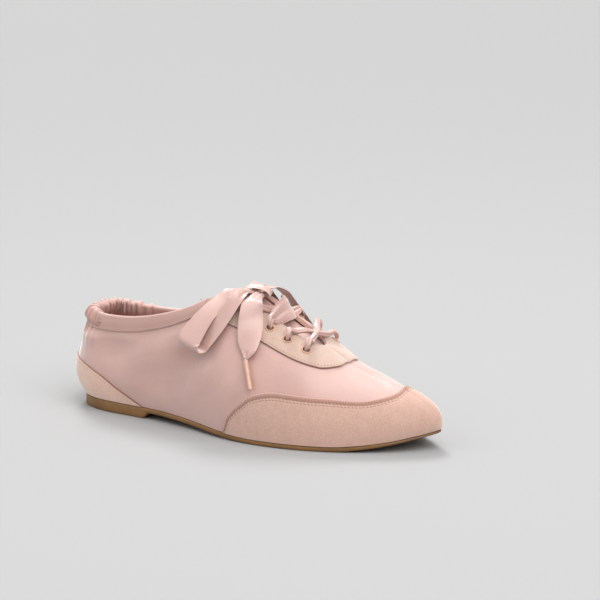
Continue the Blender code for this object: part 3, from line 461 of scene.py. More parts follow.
def edge_height(edge, w):
    """Share of the wall's height at which an edge runs."""
    return smooth_table(station(w), edge["station"], edge["height"])


def smooth_rows(rows, count):
    """Rows read evenly from a smooth curve through the given rows."""
    rows = np.array(rows, dtype=float)
    t = np.linspace(0, len(rows) - 1, count)
    k = np.clip(np.floor(t).astype(int), 0, len(rows) - 2)
    t = (t - k)[:, None]
    start, end = rows[k], rows[k + 1]
    leaving = 0.5 * (end - rows[np.maximum(k - 1, 0)])
    arriving = 0.5 * (rows[np.minimum(k + 2, len(rows) - 1)] - start)
    return hermite(t, start, end, leaving, arriving)


# Eyelets, in two rows through the facings


def eyelet_frames(side):
    """Centre on the satin, outward direction and direction to the throat's edge, toe to collar."""
    stations = np.linspace(EYELET_FIRST_STATION, EYELET_SEARCH_STATION, 800)
    w = stations if side == "lateral" else LOOP - stations
    v = 1.0 - EYELET_FROM_EDGE / wall_length(w)
    line = upper_point(w, v, np.zeros(len(w)))
    run = np.concatenate([[0.0], np.cumsum(np.linalg.norm(np.diff(line, axis=0), axis=1))])
    frames = []
    for row in range(EYELET_ROWS):
        place = int(np.searchsorted(run, EYELET_SPACING * row))
        outward = upper_normal(w[place], v[place])
        edge = upper_point(w[place:place + 1], np.ones(1), np.zeros(1))[0]
        inward = edge - line[place]
        inward = inward - outward * (inward @ outward)
        frames.append((line[place], outward, inward / np.linalg.norm(inward)))
    return frames


def unit(vectors):
    """The same directions with length 1."""
    return vectors / np.linalg.norm(vectors, axis=-1, keepdims=True)


# Materials


def new_material(name, color, roughness, **values):
    """A material, its nodes and its shader, with input values by name."""
    made = bpy.data.materials.new(name)
    made.use_nodes = True
    shader = made.node_tree.nodes["Principled BSDF"]
    shader.inputs["Base Color"].default_value = (*color, 1.0)
    shader.inputs["Roughness"].default_value = roughness
    for socket, value in values.items():
        shader.inputs[socket.replace("_", " ")].default_value = value
    made.diffuse_color = (*color, 1.0)
    return made, made.node_tree, shader


def add(tree, kind, links=(), **values):
    """A node with the given properties or input values, and links into its inputs."""
    made = tree.nodes.new(kind)
    for name, value in values.items():
        if hasattr(made, name):
            setattr(made, name, value)
        else:
            made.inputs[name.replace("_", " ")].default_value = value
    for socket, source in dict(links).items():
        tree.links.new(source, made.inputs[socket])
    return made


def coordinates(tree, scale, from_map=False):
    """Coordinates in metres, times a scale or the scales of the three directions."""
    place = add(tree, "ShaderNodeTexCoord")
    mapping = add(tree, "ShaderNodeMapping", {"Vector": place.outputs["UV" if from_map else "Object"]})
    mapping.inputs["Scale"].default_value = scale if isinstance(scale, tuple) else (scale,) * 3
    return mapping.outputs["Vector"]


def noise(tree, scale, detail=3.0, roughness=0.55, from_map=False):
    """Noise in metres, at a scale in turns to the metre."""
    made = add(tree, "ShaderNodeTexNoise", {"Vector": coordinates(tree, scale, from_map)},
               Scale=1.0, Detail=detail, Roughness=roughness)
    return made.outputs["Fac"]


def between(tree, factor, low, high, low_at=0.35, high_at=0.65):
    """A number from low to high as factor goes from low_at to high_at."""
    made = add(tree, "ShaderNodeMapRange", {"Value": factor})
    for socket, value in (("From Min", low_at), ("From Max", high_at), ("To Min", low), ("To Max", high)):
        made.inputs[socket].default_value = value
    return made.outputs["Result"]


def colors(tree, factor, stops):
    """Colours blended between stops of position and colour."""
    ramp = add(tree, "ShaderNodeValToRGB", {"Fac": factor})
    ramp.color_ramp.elements[0].position = stops[0][0]
    ramp.color_ramp.elements[0].color = (*stops[0][1], 1.0)
    ramp.color_ramp.elements[1].position = stops[-1][0]
    ramp.color_ramp.elements[1].color = (*stops[-1][1], 1.0)
    for position, color in stops[1:-1]:
        ramp.color_ramp.elements.new(position).color = (*color, 1.0)
    return ramp.outputs["Color"]


def multiplied(tree, first, second):
    """One colour times another."""
    made = add(tree, "ShaderNodeMix", data_type="RGBA", blend_type="MULTIPLY")
    made.inputs[0].default_value = 1.0
    tree.links.new(first, made.inputs[6])
    tree.links.new(second, made.inputs[7])
    return made.outputs[2]


def bumps(tree, shader, layers):
    """Bump layers of height, strength and depth in metres, one on top of the other."""
    normal = None
    for height, strength, depth in layers:
        bump = add(tree, "ShaderNodeBump", {"Height": height}, Strength=strength, Distance=depth)
        if normal is not None:
            tree.links.new(normal, bump.inputs["Normal"])
        normal = bump.outputs["Normal"]
    tree.links.new(normal, shader.inputs["Normal"])


def dress(surface, base, rough, layers):
    """Links a colour, a roughness as factor, low and high, and bump layers to a new material."""
    made, tree, shader = surface
    tree.links.new(base, shader.inputs["Base Color"])
    if rough:
        tree.links.new(between(tree, *rough), shader.inputs["Roughness"])
    bumps(tree, shader, layers)
    return made


def shade(color, factor):
    """A darker or lighter colour."""
    return tuple(min(1.0, factor * part) for part in color)


def satin(name, color, roughness, across=(700.0, 5200.0, 1.0), **values):
    """Satin: long floats lie along the map's first direction, so it shines across them."""
    surface = new_material(name, color, roughness, Specular_IOR_Level=0.90, **values)
    tree = surface[1]
    large = noise(tree, 38.0, 2.0)
    soft = noise(tree, 150.0, 2.0)
    grain = noise(tree, 1700.0, 2.0)
    floats = noise(tree, across, 2.0, 0.6, from_map=True)
    base = colors(tree, between(tree, large, 0.0, 1.0),
                  ((0.0, shade(color, 0.96)), (0.5, color), (1.0, shade(color, 1.03))))
    speckle = colors(tree, floats, ((0.25, (0.86, 0.85, 0.85)), (0.75, (1.0, 1.0, 1.0))))
    return dress(surface, multiplied(tree, base, speckle), (grain, roughness - 0.04, roughness + 0.09),
                 ((soft, 0.22, 0.0009), (floats, 0.34, 0.00012), (grain, 0.34, 0.00012)))


def suede(name, color, nap=1.0):
    """Suede: a brushed nap over short fibres."""
    surface = new_material(name, color, 0.90, Specular_IOR_Level=0.25, Sheen_Weight=1.0,
                           Sheen_Roughness=0.50, Sheen_Tint=(1.0, 0.93, 0.89, 1.0))
    tree = surface[1]
    brushed = noise(tree, (210.0, 210.0, 150.0))
    fibre = noise(tree, 1500.0, 4.0, 0.65)
    base = colors(tree, brushed, ((0.30, shade(color, 0.95)), (0.52, color), (0.72, shade(color, 1.03))))
    grain = colors(tree, fibre, ((0.30, (0.78, 0.76, 0.75)), (0.62, (1.0, 1.0, 1.0))))
    return dress(surface, multiplied(tree, base, grain), (fibre, 0.86, 0.98),
                 ((brushed, 0.15, 0.0006), (fibre, 0.55 * nap, 0.00022)))


def cloth(name, color, threads=1500.0):
    """Plain weave: two crossed sets of threads."""
    surface = new_material(name, color, 0.85, Sheen_Weight=0.3)
    tree = surface[1]
    warp = add(tree, "ShaderNodeTexWave", {"Vector": coordinates(tree, (threads, 0.0, 0.0))})
    weft = add(tree, "ShaderNodeTexWave", {"Vector": coordinates(tree, (0.0, threads, threads))})
    weave = add(tree, "ShaderNodeMath", {0: warp.outputs["Fac"], 1: weft.outputs["Fac"]},
                operation="MULTIPLY")
    fuzz = noise(tree, 300.0, 4.0)
    base = colors(tree, fuzz, ((0.35, shade(color, 0.93)), (0.65, color)))
    return dress(surface, base, None, ((weave.outputs["Value"], 0.4, 0.0002), (fuzz, 0.3, 0.0003)))


def thread(name, color):
    """Sewing thread, with its twist."""
    surface = new_material(name, color, 0.6, Sheen_Weight=0.2)
    twist = noise(surface[1], 2600.0, 2.0)
    base = colors(surface[1], twist, ((0.35, shade(color, 0.75)), (0.65, color)))
    return dress(surface, base, None, ((twist, 0.5, 0.0001),))


def enamel(name, color):
    """Painted metal or hard plastic, slightly worn."""
    surface = new_material(name, color, 0.42)
    worn = noise(surface[1], 700.0)
    base = colors(surface[1], worn, ((0.3, shade(color, 0.8)), (0.6, color)))
    return dress(surface, base, (worn, 0.34, 0.54), ((worn, 0.15, 0.0001),))


def gum_rubber():
    """Moulded gum rubber, a little cloudy and speckled."""
    surface = new_material("gum_skin", (0.220, 0.105, 0.030), 0.42)
    tree = surface[1]
    cloudy = noise(tree, (45.0, 45.0, 120.0))
    speck = noise(tree, 900.0)
    base = colors(tree, cloudy, ((0.3, (0.170, 0.078, 0.022)), (0.55, (0.225, 0.108, 0.032)),
                                 (0.8, (0.275, 0.138, 0.045))))
    grime = colors(tree, speck, ((0.3, (0.80, 0.78, 0.76)), (0.6, (1.0, 1.0, 1.0))))
    return dress(surface, multiplied(tree, base, grime), (speck, 0.40, 0.58),
                 ((cloudy, 0.12, 0.0006), (speck, 0.3, 0.00012)))


# Meshes


def grid_faces(columns, rows, closed=False):
    """Quads of a grid whose points are numbered column by column."""
    column = np.arange(columns if closed else columns - 1)[:, None]
    row = np.arange(rows - 1)[None, :]
    a = column * rows + row
    b = ((column + 1) % columns) * rows + row
    return np.stack([a, b, b + 1, a + 1], axis=-1).reshape(-1, 4)


def ring_faces(count, sides):
    """Quads of a tube whose points are numbered ring by ring."""
    a = np.arange(count - 1)[:, None] * sides + np.arange(sides)[None, :]
    b = np.arange(count - 1)[:, None] * sides + (np.arange(sides)[None, :] + 1) % sides
    return np.stack([a, b, b + sides, a + sides], axis=-1).reshape(-1, 4)


def tube_faces(count, sides):
    """Faces of a tube with both ends closed."""
    faces = [tuple(face) for face in ring_faces(count, sides)]
    return faces + [tuple(range(sides))[::-1], tuple((count - 1) * sides + k for k in range(sides))]


def piece(name, points, faces, materials, kinds=None, uv=None, sharp=50.0, weld=4e-6,
          replaces=()):
    """A smooth mesh piece on the root body. kinds numbers the material of each face."""
    points = np.asarray(points, dtype=float).reshape(-1, 3)
    mesh = bpy.data.meshes.new(name)
    mesh.from_pydata(points.tolist(), [], [tuple(face) for face in faces])
    for material in materials:
        mesh.materials.append(material)
    if kinds is not None:
        mesh.polygons.foreach_set("material_index", np.asarray(kinds, dtype=np.int32))
    if uv is not None:
        layer = mesh.uv_layers.new(name="cloth")
        corner = np.empty(len(mesh.loops), dtype=np.int32)
        mesh.loops.foreach_get("vertex_index", corner)
        layer.data.foreach_set("uv", np.asarray(uv, dtype=float).reshape(-1, 2)[corner].ravel())
    if weld:
        net = bmesh.new()
        net.from_mesh(mesh)
        bmesh.ops.remove_doubles(net, verts=net.verts, dist=weld)
        loose = [vert for vert in net.verts if not vert.link_faces]
        bmesh.ops.delete(net, geom=loose, context="VERTS")
        net.to_mesh(mesh)
        net.free()
    mesh.shade_smooth()
    mesh.set_sharp_from_angle(angle=math.radians(sharp))
    made = bpy.data.objects.new(name, mesh)
    scene.collection.objects.link(made)
    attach(made, "root")
    if replaces:
        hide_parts(*replaces)
    return made


def arc_lengths(points):
    """Distance along each row of points, from its first point."""
    steps = np.linalg.norm(np.diff(points, axis=0), axis=-1)
    return np.concatenate([np.zeros((1,) + steps.shape[1:]), np.cumsum(steps, axis=0)])


def cloth_map(points):
    """Map of a grid of points in metres: along its columns, then up its rows."""
    along = arc_lengths(points)
    up = np.swapaxes(arc_lengths(np.swapaxes(points, 0, 1)), 0, 1)
    middle = along[:, along.shape[1] // 2][:, None]
    return np.stack([np.broadcast_to(middle, along.shape), up], axis=-1)


def punched(points, faces, frames, radius, edge):
    """Points pushed out to round holes at the eyelets, and the faces that are left."""
    points = points.copy()
    keep = np.ones(len(faces), dtype=bool)
    for centre, outward, _ in frames:
        away = points - centre
        height = away @ outward
        flat = away - height[:, None] * outward
        distance = np.linalg.norm(flat, axis=1)
        near = np.abs(height) < 0.004
        inside = near & (distance < radius - edge)
        pushed = near & ~inside & (distance < radius)
        points[pushed] += flat[pushed] / distance[pushed][:, None] * (radius - distance[pushed])[:, None]
        keep &= ~inside[faces].any(axis=1)
    return points, keep


def read_along(places, run, rows):
    """Rows read at distances along a line."""
    return np.stack([np.interp(places, run, rows[:, k]) for k in range(3)], axis=1)


STITCH_RINGS = 7
STITCH_SIDES = 6


def stitches(name, kind, w, v, out, down, across=0.0, start=0.5):
    """Short threads along a line on the wall, at a height out over it and a distance down from shares
    v of its height. across turns each stitch off the line, and start is the first in pitches."""
    pitch, length, radius, lift, made_of = STITCH_KINDS[kind]
    w, v = paired(w, v - down / wall_length(w))
    line = upper_point(w, v, np.full(w.shape, out))
    run = arc_lengths(line)
    count = int((run[-1] - start * pitch) / pitch)
    middles = (np.arange(count) + start) * pitch
    spot = read_along(middles, run, line)
    outward = unit(read_along(middles, run, upper_normal(w, v)))
    along = read_along(middles + 0.0004, run, line) - spot
    along = unit(along - outward * (along * outward).sum(axis=1)[:, None])
    heading = along * math.cos(across) + np.cross(outward, along) * math.sin(across)
    side = np.cross(outward, heading)
    share = np.linspace(-1.0, 1.0, STITCH_RINGS)
    swell = np.sqrt(np.clip(1.0 - np.abs(share) ** 4, 0.0, 1.0)) * 0.9 + 0.1
    points = []
    for t, fat in zip(share, swell):
        middle = spot + heading * (0.5 * length * t) + outward * (radius * (lift - 1.1 * t * t))
        for angle in np.arange(STITCH_SIDES) * 2 * math.pi / STITCH_SIDES:
            ring = side * math.cos(angle) + outward * math.sin(angle)
            points.append(middle + ring * radius * fat)
    first = np.arange(count)[:, None, None] * STITCH_RINGS * STITCH_SIDES
    faces = (ring_faces(STITCH_RINGS, STITCH_SIDES) + first).reshape(-1, 4)
    return piece(name, np.stack(points, axis=1), faces, [made_of], weld=0.0)


# Finishes
satin_skin = satin("satin_skin", (0.535, 0.308, 0.262), 0.42, Sheen_Weight=1.0, Sheen_Roughness=0.50)
binding_skin = satin("binding_skin", (0.470, 0.262, 0.222), 0.52, (900.0, 4200.0, 1.0), Sheen_Weight=0.5)
ribbon_skin = satin("ribbon_skin", (0.535, 0.325, 0.282), 0.40, (500.0, 4200.0, 1.0), Sheen_Weight=0.4)
suede_skin = suede("suede_skin", (0.560, 0.355, 0.285))
suede_pale = suede("suede_pale", (0.500, 0.345, 0.275), 0.8)
# The heel counter's suede: lighter than suede_pale, with painted light in its colour to make up for the
# shade the heel lies in under these lamps.
suede_heel_painted_light = suede("suede_heel_painted_light", (0.720, 0.480, 0.380), 0.8)
# Near-black brown on the overlays' edge rows, drawn as a dark line along their edges.
dark_edge_line = suede("dark_edge_line", (0.235, 0.110, 0.085), 0.6)
raw_edge = suede("raw_edge", (0.640, 0.400, 0.330), 1.4)
piping_skin = suede("piping_skin", (0.470, 0.265, 0.205), 0.8)
lining_cloth = cloth("lining_cloth", (0.560, 0.275, 0.205))
dark_thread = thread("dark_thread", (0.260, 0.125, 0.095))
pink_thread = thread("pink_thread", (0.420, 0.225, 0.185))
SEAM_PITCH = 0.0017
# Kinds of stitch: pitch, length, radius, lift over the line in radii, and thread
STITCH_KINDS = {
    "whip": (SEAM_PITCH, 0.0019, 0.00013, 0.10, dark_thread),
    "toe_seam": (0.0022, 0.0014, 0.00019, 0.30, dark_thread),
    "toe_edge": (0.0022, 0.0014, 0.00017, 0.30, dark_thread),
    "heel": (0.0021, 0.0012, 0.00017, 0.20, dark_thread),
    "facing": (0.0021, 0.0013, 0.00017, 0.25, dark_thread),
    "throat": (0.0021, 0.0013, 0.00017, 0.25, pink_thread),
    "collar": (0.0019, 0.0011, 0.00016, 0.20, dark_thread),
    "tack": (0.0011, 0.0021, 0.00022, 0.50, pink_thread),
}
aglet_skin = enamel("aglet_skin", (0.660, 0.400, 0.300))

# Outsole
sole_side = np.unique(np.concatenate([np.arange(0, LAST_STATION, 0.05), [LAST_STATION]]))
sole_loop = np.concatenate([sole_side, LOOP - sole_side[-2:0:-1]])

# Rings of the sole: inset from its outline, level and lift over it
SOLE_PROFILE = (
    (0.0016, "low", 0.0), (0.0006, "low", 0.00012), (0.00012, "low", 0.0005), (0.0, "low", 0.0010),
    (-0.00012, "middle", 0.0), (0.0, "high", -0.0008), (0.00012, "high", -0.0003),
    (0.0005, "high", -0.00003), (0.0030, "high", 0.0),
)


def across_sole(rows, level):
    """Faces from side to side that close one ring of points on the sole's outline."""
    count = len(sole_loop)
    faces = []
    for k in range(len(sole_side) - 1):
        corners = [place % count * rows + level for place in (k, k + 1, count - k - 1, count - k)]
        faces.append(tuple(corner for place, corner in enumerate(corners) if corner != corners[place - 1]))
    return faces


sole_run = sole_along.at(sole_loop)
levels = {"low": sole_bottom(sole_run), "high": sole_top(sole_run)}
levels["middle"] = 0.5 * (levels["low"] + levels["high"])
rings = []
for inset, level, lift in SOLE_PROFILE:
    x, y = outline(sole_loop, inset)
    rings.append(np.stack([x - HEEL_REST_ALONG, y, np.maximum(levels[level] + lift, 0.0)], axis=-1))
faces = [tuple(face) for face in grid_faces(len(sole_loop), len(rings), closed=True)]
faces += [face[::-1] for face in across_sole(len(rings), 0)] + across_sole(len(rings), len(rings) - 1)
piece("gum_outsole", np.stack(rings, axis=1), faces, [gum_rubber()],
      replaces=["outsole"])

# Satin upper, with the folds that the elastic and the last leave in it. Folds are side, ends as along
# and up, half width and rise, in millimetres.
FOLDS = (
    (-1, 2, 57, 20, 52, 5.0, 0.55), (-1, -16, 46, -2, 52, 4.5, 0.45), (-1, -6, 38, 22, 43, 7.0, -0.45),
    (-1, 18, 35, 52, 46, 8.0, 0.40), (-1, 30, 26, 72, 31, 9.0, -0.40), (-1, 48, 50, 76, 60, 6.0, 0.35),
    (-1, 62, 40, 88, 52, 6.5, -0.40), (-1, 70, 24, 92, 42, 7.0, 0.35), (-1, 10, 22, 34, 25, 7.0, 0.30),
    (1, 0, 52, 24, 47, 5.5, 0.50), (1, -12, 40, 14, 38, 6.5, -0.40), (1, 24, 32, 60, 40, 8.0, 0.40),
    (1, 44, 22, 80, 30, 8.0, -0.40), (1, 60, 48, 86, 58, 6.5, 0.35), (1, 72, 34, 96, 44, 7.0, -0.35),
    (-1, 96, 22, 112, 40, 7.0, 0.25), (1, 100, 24, 118, 38, 7.0, 0.25),
)
FOLD_STRENGTH = 3.2
PUCKER_PLEATS = 21.0
PUCKER_HEIGHT = 0.0010
SWELL_HEIGHT = 0.0012
GATHER_FADE = 0.3
# Share of the wall's height over which the folds fade at an overlay's edge
FOLD_FADE = 0.10


def near_gather(w):
    """1 within the run of the heel's elastic, and the share of that run from the medial end."""
    w = np.mod(w, LOOP)
    w = np.where(w > LAST_STATION, w - LOOP, w)
    lateral = smooth_step(-w, -GATHER_LATERAL_STATION, -GATHER_LATERAL_STATION + GATHER_FADE)
    medial = smooth_step(w, -GATHER_MEDIAL_STATION, -GATHER_MEDIAL_STATION + GATHER_FADE)
    return lateral * medial, (w + GATHER_MEDIAL_STATION) / (GATHER_LATERAL_STATION + GATHER_MEDIAL_STATION)


def pleat_phase(share):
    """Uneven pleats along the elastic, as an angle that grows by a full turn for each."""
    wander = 0.30 * np.sin(2 * math.pi * 2.7 * share + 0.6) + 0.16 * np.sin(2 * math.pi * 6.1 * share)
    return 2 * math.pi * (PUCKER_PLEATS * share + wander)


def fold_height(w, v):
    """Height of the satin's folds over its face, with the gathers under the collar's elastic."""
    place = upper_point(w, v, np.zeros(w.shape))
    side = side_sign(w)
    height = np.zeros(w.shape)
    for fold_side, x0, z0, x1, z1, half, rise in FOLDS:
        ends = np.array([(x0, z0), (x1, z1)]) * MM
        line = ends[1] - ends[0]
        away = place[..., ::2] - ends[0]
        share = np.clip((away @ line) / (line @ line), 0.0, 1.0)
        bow = 0.10 * np.linalg.norm(line) * np.sin(math.pi * share)
        distance = np.linalg.norm(away - share[..., None] * line, axis=-1) - bow * 0.5
        strength = FOLD_STRENGTH * np.sin(math.pi * (0.15 + 0.7 * share))
        shape = np.exp(-(distance / (half * MM)) ** 2)
        height += np.where(side == fold_side, rise * MM * strength * shape, 0.0)
    s = station(w)
    facing = edge_height(EYESTAY_EDGE, w)
    free = 1.0 - smooth_step(v, facing - FOLD_FADE, facing)
    low = np.where(s > MUDGUARD_SEAM["station"][0], edge_height(MUDGUARD_SEAM, w), -0.2)
    low = np.where(s < COUNTER_EDGE["station"][-1], edge_height(COUNTER_EDGE, w), low)
    height = height * free * smooth_step(v, low, low + FOLD_FADE)
    gathered, share = near_gather(w)
    below = np.clip((1.0 - v) * wall_length(w.ravel()).reshape(w.shape) - BINDING_WIDTH, 0.0, None)
    pucker = gathered * np.cos(pleat_phase(share)) * np.exp(-below / 0.0055) * PUCKER_HEIGHT
    swell = gathered * SWELL_HEIGHT * np.exp(-((below - 0.006) / 0.007) ** 2)
    under_band = np.where(s < BAND_END, smooth_step(below, 0.0005, 0.008), 1.0)
    return height * under_band + pucker + swell


eyelets = {side: eyelet_frames(side) for side in SIDES}
all_eyelets = eyelets["lateral"] + eyelets["medial"]

# The last rows turn over the wall's top edge. Along the ridge of the vamp there is no such edge.
OVER_THE_EDGE = (-0.0004, -0.0010, INNER_FACE)
WALL_ROWS = 70
wall_v = np.append(np.linspace(0.0, 1.0, WALL_ROWS), np.ones(len(OVER_THE_EDGE)))
wall_w, wall_v = np.meshgrid(fine_loop, wall_v, indexing="ij")
skin_out = fold_height(wall_w, wall_v)
skin_out[:, WALL_ROWS:] = OVER_THE_EDGE
skin = upper_point(wall_w, wall_v, skin_out)
faces = grid_faces(*wall_w.shape)
column, row = np.divmod(faces.min(axis=1), wall_w.shape[1])
faces = faces[(row < WALL_ROWS - 1) | (station(fine_loop[column]) < THROAT_FRONT)]
points, keep = punched(skin.reshape(-1, 3), faces, all_eyelets, HOLE_RADIUS, 0.0007)
piece("satin_upper", points, faces[keep], [satin_skin], uv=cloth_map(skin),
      replaces=["upper"])

lining_w, lining_v = np.meshgrid(fine_loop[::2], np.linspace(0.0, 1.0, 36), indexing="ij")
inner = upper_point(lining_w, lining_v, np.full(lining_w.shape, INNER_FACE))
faces = grid_faces(*lining_w.shape)[:, ::-1]
points, keep = punched(inner.reshape(-1, 3), faces, all_eyelets, HOLE_RADIUS, 0.0012)
piece("upper_lining", points, faces[keep], [lining_cloth])

# Overlays. Profiles of their edges: distance in from the edge, height over the satin, and 0 for the
# face, 1 for the dark edge line or the cord and 2 for the raw edge.
TURNED_EDGE = ((0.0, -0.0001, 1), (0.00005, 0.0006, 1), (0.00025, 0.00095, 1), (0.0006, OVERLAY_FACE, 0))
FLAT_EDGE = ((0.0, OVERLAY_FACE, 0), (0.0002, OVERLAY_FACE, 0))
THROAT_EDGE = (
    (0.0004, OVERLAY_FACE, 0), (0.0001, 0.00095, 2), (0.0, 0.0006, 2), (-0.00015, 0.0, 2),
    (-0.00015, -0.0008, 2), (-0.0001, -0.0016, 2),
)
FULL_EDGE_ROOM = 0.0024


def overlay(w, low_edge, high_edge, low_profile, high_profile, rows, extra=None):
    """Points, faces and material numbers of a suede overlay between two edges of the wall. extra adds
    to the height, from the distance below the high edge."""
    length = wall_length(w)
    room = np.clip((high_edge - low_edge) * length / FULL_EDGE_ROOM, 0.01, 1.0) / length
    below = [low_edge + inward * room for inward, _, _ in low_profile]
    above = [high_edge - inward * room for inward, _, _ in high_profile]
    shares = np.linspace(0.0, 1.0, rows)[1:-1]
    v = np.stack(below + [below[-1] + (above[0] - below[-1]) * share for share in shares] + above, axis=1)
    middle = [(0.0, OVERLAY_FACE, 0)] * len(shares)
    _, heights, kinds = zip(*low_profile, *middle, *high_profile)
    out = np.tile(heights, (len(w), 1))
    if extra is not None:
        out += extra((high_edge[:, None] - v) * length[:, None])
    points = upper_point(np.broadcast_to(w[:, None], v.shape), v, out)
    return points, grid_faces(*v.shape), np.tile(np.maximum(kinds[:-1], kinds[1:]), len(w) - 1)


# Toe mudguard, with a corded seam whipped with thread along its upper edge
mud_side = np.append(np.arange(MUDGUARD_SEAM["station"][0], LAST_STATION, 0.028), LAST_STATION)
mud_w = there_and_back(mud_side)
mud_top = edge_height(MUDGUARD_SEAM, mud_w)
mud_run = arc_lengths(upper_point(mud_w, mud_top, np.zeros(len(mud_w))))
cord_profile = [(SEAM_PIPING_WIDTH * (1.0 - t), OVERLAY_FACE + 0.00028 * math.sin(math.pi * t) ** 0.7, 1)
                for t in np.linspace(0.0, 1.0, 9)[:-1]]
cord_profile += [(0.0, 0.0005, 1), (0.0, -0.0001, 1)]


def seam_pucker(below):
    """The cord's waves between whip stitches, and the groove and dimple under it."""
    in_cord = np.exp(-((below - 0.5 * SEAM_PIPING_WIDTH) / (0.45 * SEAM_PIPING_WIDTH)) ** 2)
    groove = np.exp(-((below - SEAM_PIPING_WIDTH - 0.0004) / 0.0005) ** 2)
    dimple = np.exp(-((below - SEAM_PIPING_WIDTH - 0.0018) / 0.0007) ** 2)
    waves = np.cos(2 * math.pi * mud_run[:, None] / SEAM_PITCH)
    return in_cord * 0.00012 * waves - groove * 0.00035 - dimple * 0.00014


points, faces, kinds = overlay(mud_w, np.zeros(len(mud_w)), mud_top, FLAT_EDGE, cord_profile, 44,
                               seam_pucker)
piece("toe_mudguard_suede", points, faces, [suede_skin, piping_skin], kinds,
      replaces=["toe_mudguard"])
CORD_MIDDLE = 0.5 * SEAM_PIPING_WIDTH
stitches("seam_whip_stitches", "whip", mud_w, mud_top, OVERLAY_FACE + 0.00026, CORD_MIDDLE, math.radians(72))
stitches("toe_seam_stitches", "toe_seam", mud_w, mud_top, OVERLAY_FACE - 0.0001, SEAM_PIPING_WIDTH + 0.0018)
stitches("toe_edge_stitches", "toe_edge", mud_w, mud_top, OVERLAY_FACE - 0.0002, SEAM_PIPING_WIDTH + 0.0005,
         start=1.6)

# Heel counter
STITCH_HEIGHT = OVERLAY_FACE - 0.00005
counter_w = np.arange(-4.2, 4.2001, 0.03)
counter_top = edge_height(COUNTER_EDGE, counter_w)
points, faces, kinds = overlay(counter_w, np.zeros(len(counter_w)), counter_top, FLAT_EDGE,
                               TURNED_EDGE[::-1], 34)
piece("heel_counter_suede", points, faces, [suede_heel_painted_light, dark_edge_line], kinds,
      replaces=["heel_counter"])
inside = np.abs(counter_w) < 4.0
stitches("heel_stitches", "heel", counter_w[inside], counter_top[inside], STITCH_HEIGHT, 0.0024)

# Eyestay: two facings joined in front of the throat, with the eyelets through them
stay_side = np.concatenate([
    np.arange(6.03, 9.9, 0.03), np.linspace(9.9, 10.0, 9)[:-1], np.arange(10.0, 11.34, 0.03), [11.35],
])


def on_side(side, stations):
    """Stations as places on the loop, in the loop's order."""
    return stations if side == "lateral" else LOOP - stations[::-1]


stay_parts = []
for side in SIDES:
    w = on_side(side, stay_side)
    points, faces, kinds = overlay(w, edge_height(EYESTAY_EDGE, w), np.ones(len(w)), TURNED_EDGE,
                                   THROAT_EDGE, 36)
    ridge = station(w) >= THROAT_FRONT - 0.001
    top = upper_point(w, np.ones(len(w)), np.full(len(w), OVERLAY_FACE))
    points[ridge, -len(THROAT_EDGE):] = top[ridge, None]
    stay_parts.append((points.reshape(-1, 3), faces, kinds))
points, faces, kinds = zip(*stay_parts)
faces = np.concatenate([faces[0], faces[1] + len(points[0])])
points, keep = punched(np.concatenate(points), faces, all_eyelets, HOLE_RADIUS, 0.0004)
piece("eyestay_suede", points, faces[keep], [suede_pale, dark_edge_line, raw_edge], np.concatenate(kinds)[keep],
      replaces=["eyestay"])
for side in SIDES:
    w = on_side(side, stay_side[stay_side < 11.30])
    stitches(f"eyestay_stitches_{side}", "facing", w, edge_height(EYESTAY_EDGE, w), STITCH_HEIGHT, -0.0021)
    w = w[station(w) < 9.97]
    stitches(f"throat_stitches_{side}", "throat", w, 1.0, STITCH_HEIGHT, 0.0019)

# Eyelets: a rolled rim outside, a barrel and a washer inside
rim_profile = smooth_rows((
    (2.75, -1.55), (3.25, -1.75), (3.2, -1.95), (2.3, -1.85), (2.12, -1.2), (2.12, 0.8), (2.2, 1.35),
    (2.45, 1.62), (2.8, 1.64), (3.05, 1.42), (3.1, 1.0),
), 34) * MM
rim_points = []
rim_faces = []
RIM_SIDES = 28
for centre, outward, inward in all_eyelets:
    aside = np.cross(outward, inward)
    angles = 2 * math.pi * np.arange(RIM_SIDES) / RIM_SIDES
    ray = np.outer(np.cos(angles), inward) + np.outer(np.sin(angles), aside)
    ring = centre + ray[:, None] * rim_profile[None, :, :1] + outward * rim_profile[None, :, 1:]
    rim_faces.append(grid_faces(RIM_SIDES, len(rim_profile), closed=True)[:, ::-1]
                     + len(rim_points) * RIM_SIDES * len(rim_profile))
    rim_points.append(ring.reshape(-1, 3))
piece("eyelet_rims", np.concatenate(rim_points), np.concatenate(rim_faces),
      [enamel("eyelet_enamel", (0.560, 0.330, 0.225))],
      replaces=[f"eyelet_{side}_{row}" for side in SIDES for row in range(1, EYELET_ROWS + 1)])

# Collar binding: a flat satin band, gathered on elastic round the heel
PLEAT_REACH = 0.0030
PLEAT_REST = 0.0002
PLEAT_SKEW = 0.0006
SCALLOP_RISE = 0.0017
FLAT_WAVE = 0.00012
END_SPREAD = 0.0005
# Its section: down from the top line and out from the satin in millimetres, then its shares of the
# pleats' fullness and of their rise
BAND_PROFILE = (
    (9.6, 0.1, 0.0, 0.0), (9.5, 0.75, 0.05, 0.0), (9.0, 1.05, 0.2, 0.0), (7.8, 0.92, 0.35, 0.0),
    (6.4, 1.02, 0.9, 0.0), (4.6, 1.12, 1.15, 0.1), (2.8, 1.12, 1.1, 0.35), (1.2, 1.05, 0.95, 0.7),
    (0.2, 0.95, 0.8, 0.95), (-0.75, 0.35, 0.5, 1.0), (-1.0, -0.6, 0.05, 1.0), (-0.75, -1.6, -0.5, 1.0),
    (0.0, -2.25, -0.8, 0.85), (1.6, -2.45, -1.0, 0.5), (3.8, -2.5, -1.0, 0.2), (6.0, -2.4, -0.6, 0.0),
    (7.8, -2.15, -0.2, 0.0), (8.4, -1.55, 0.0, 0.0),
)
band_w = np.concatenate([
    np.arange(-BAND_END, -3.3, 0.05), np.arange(-3.3, 2.55, 0.0125),
    np.arange(2.55, BAND_END + 0.001, 0.05),
])
profile = smooth_rows(BAND_PROFILE, 46)
profile[:, :2] *= MM
gathered, share = near_gather(np.mod(band_w, LOOP))
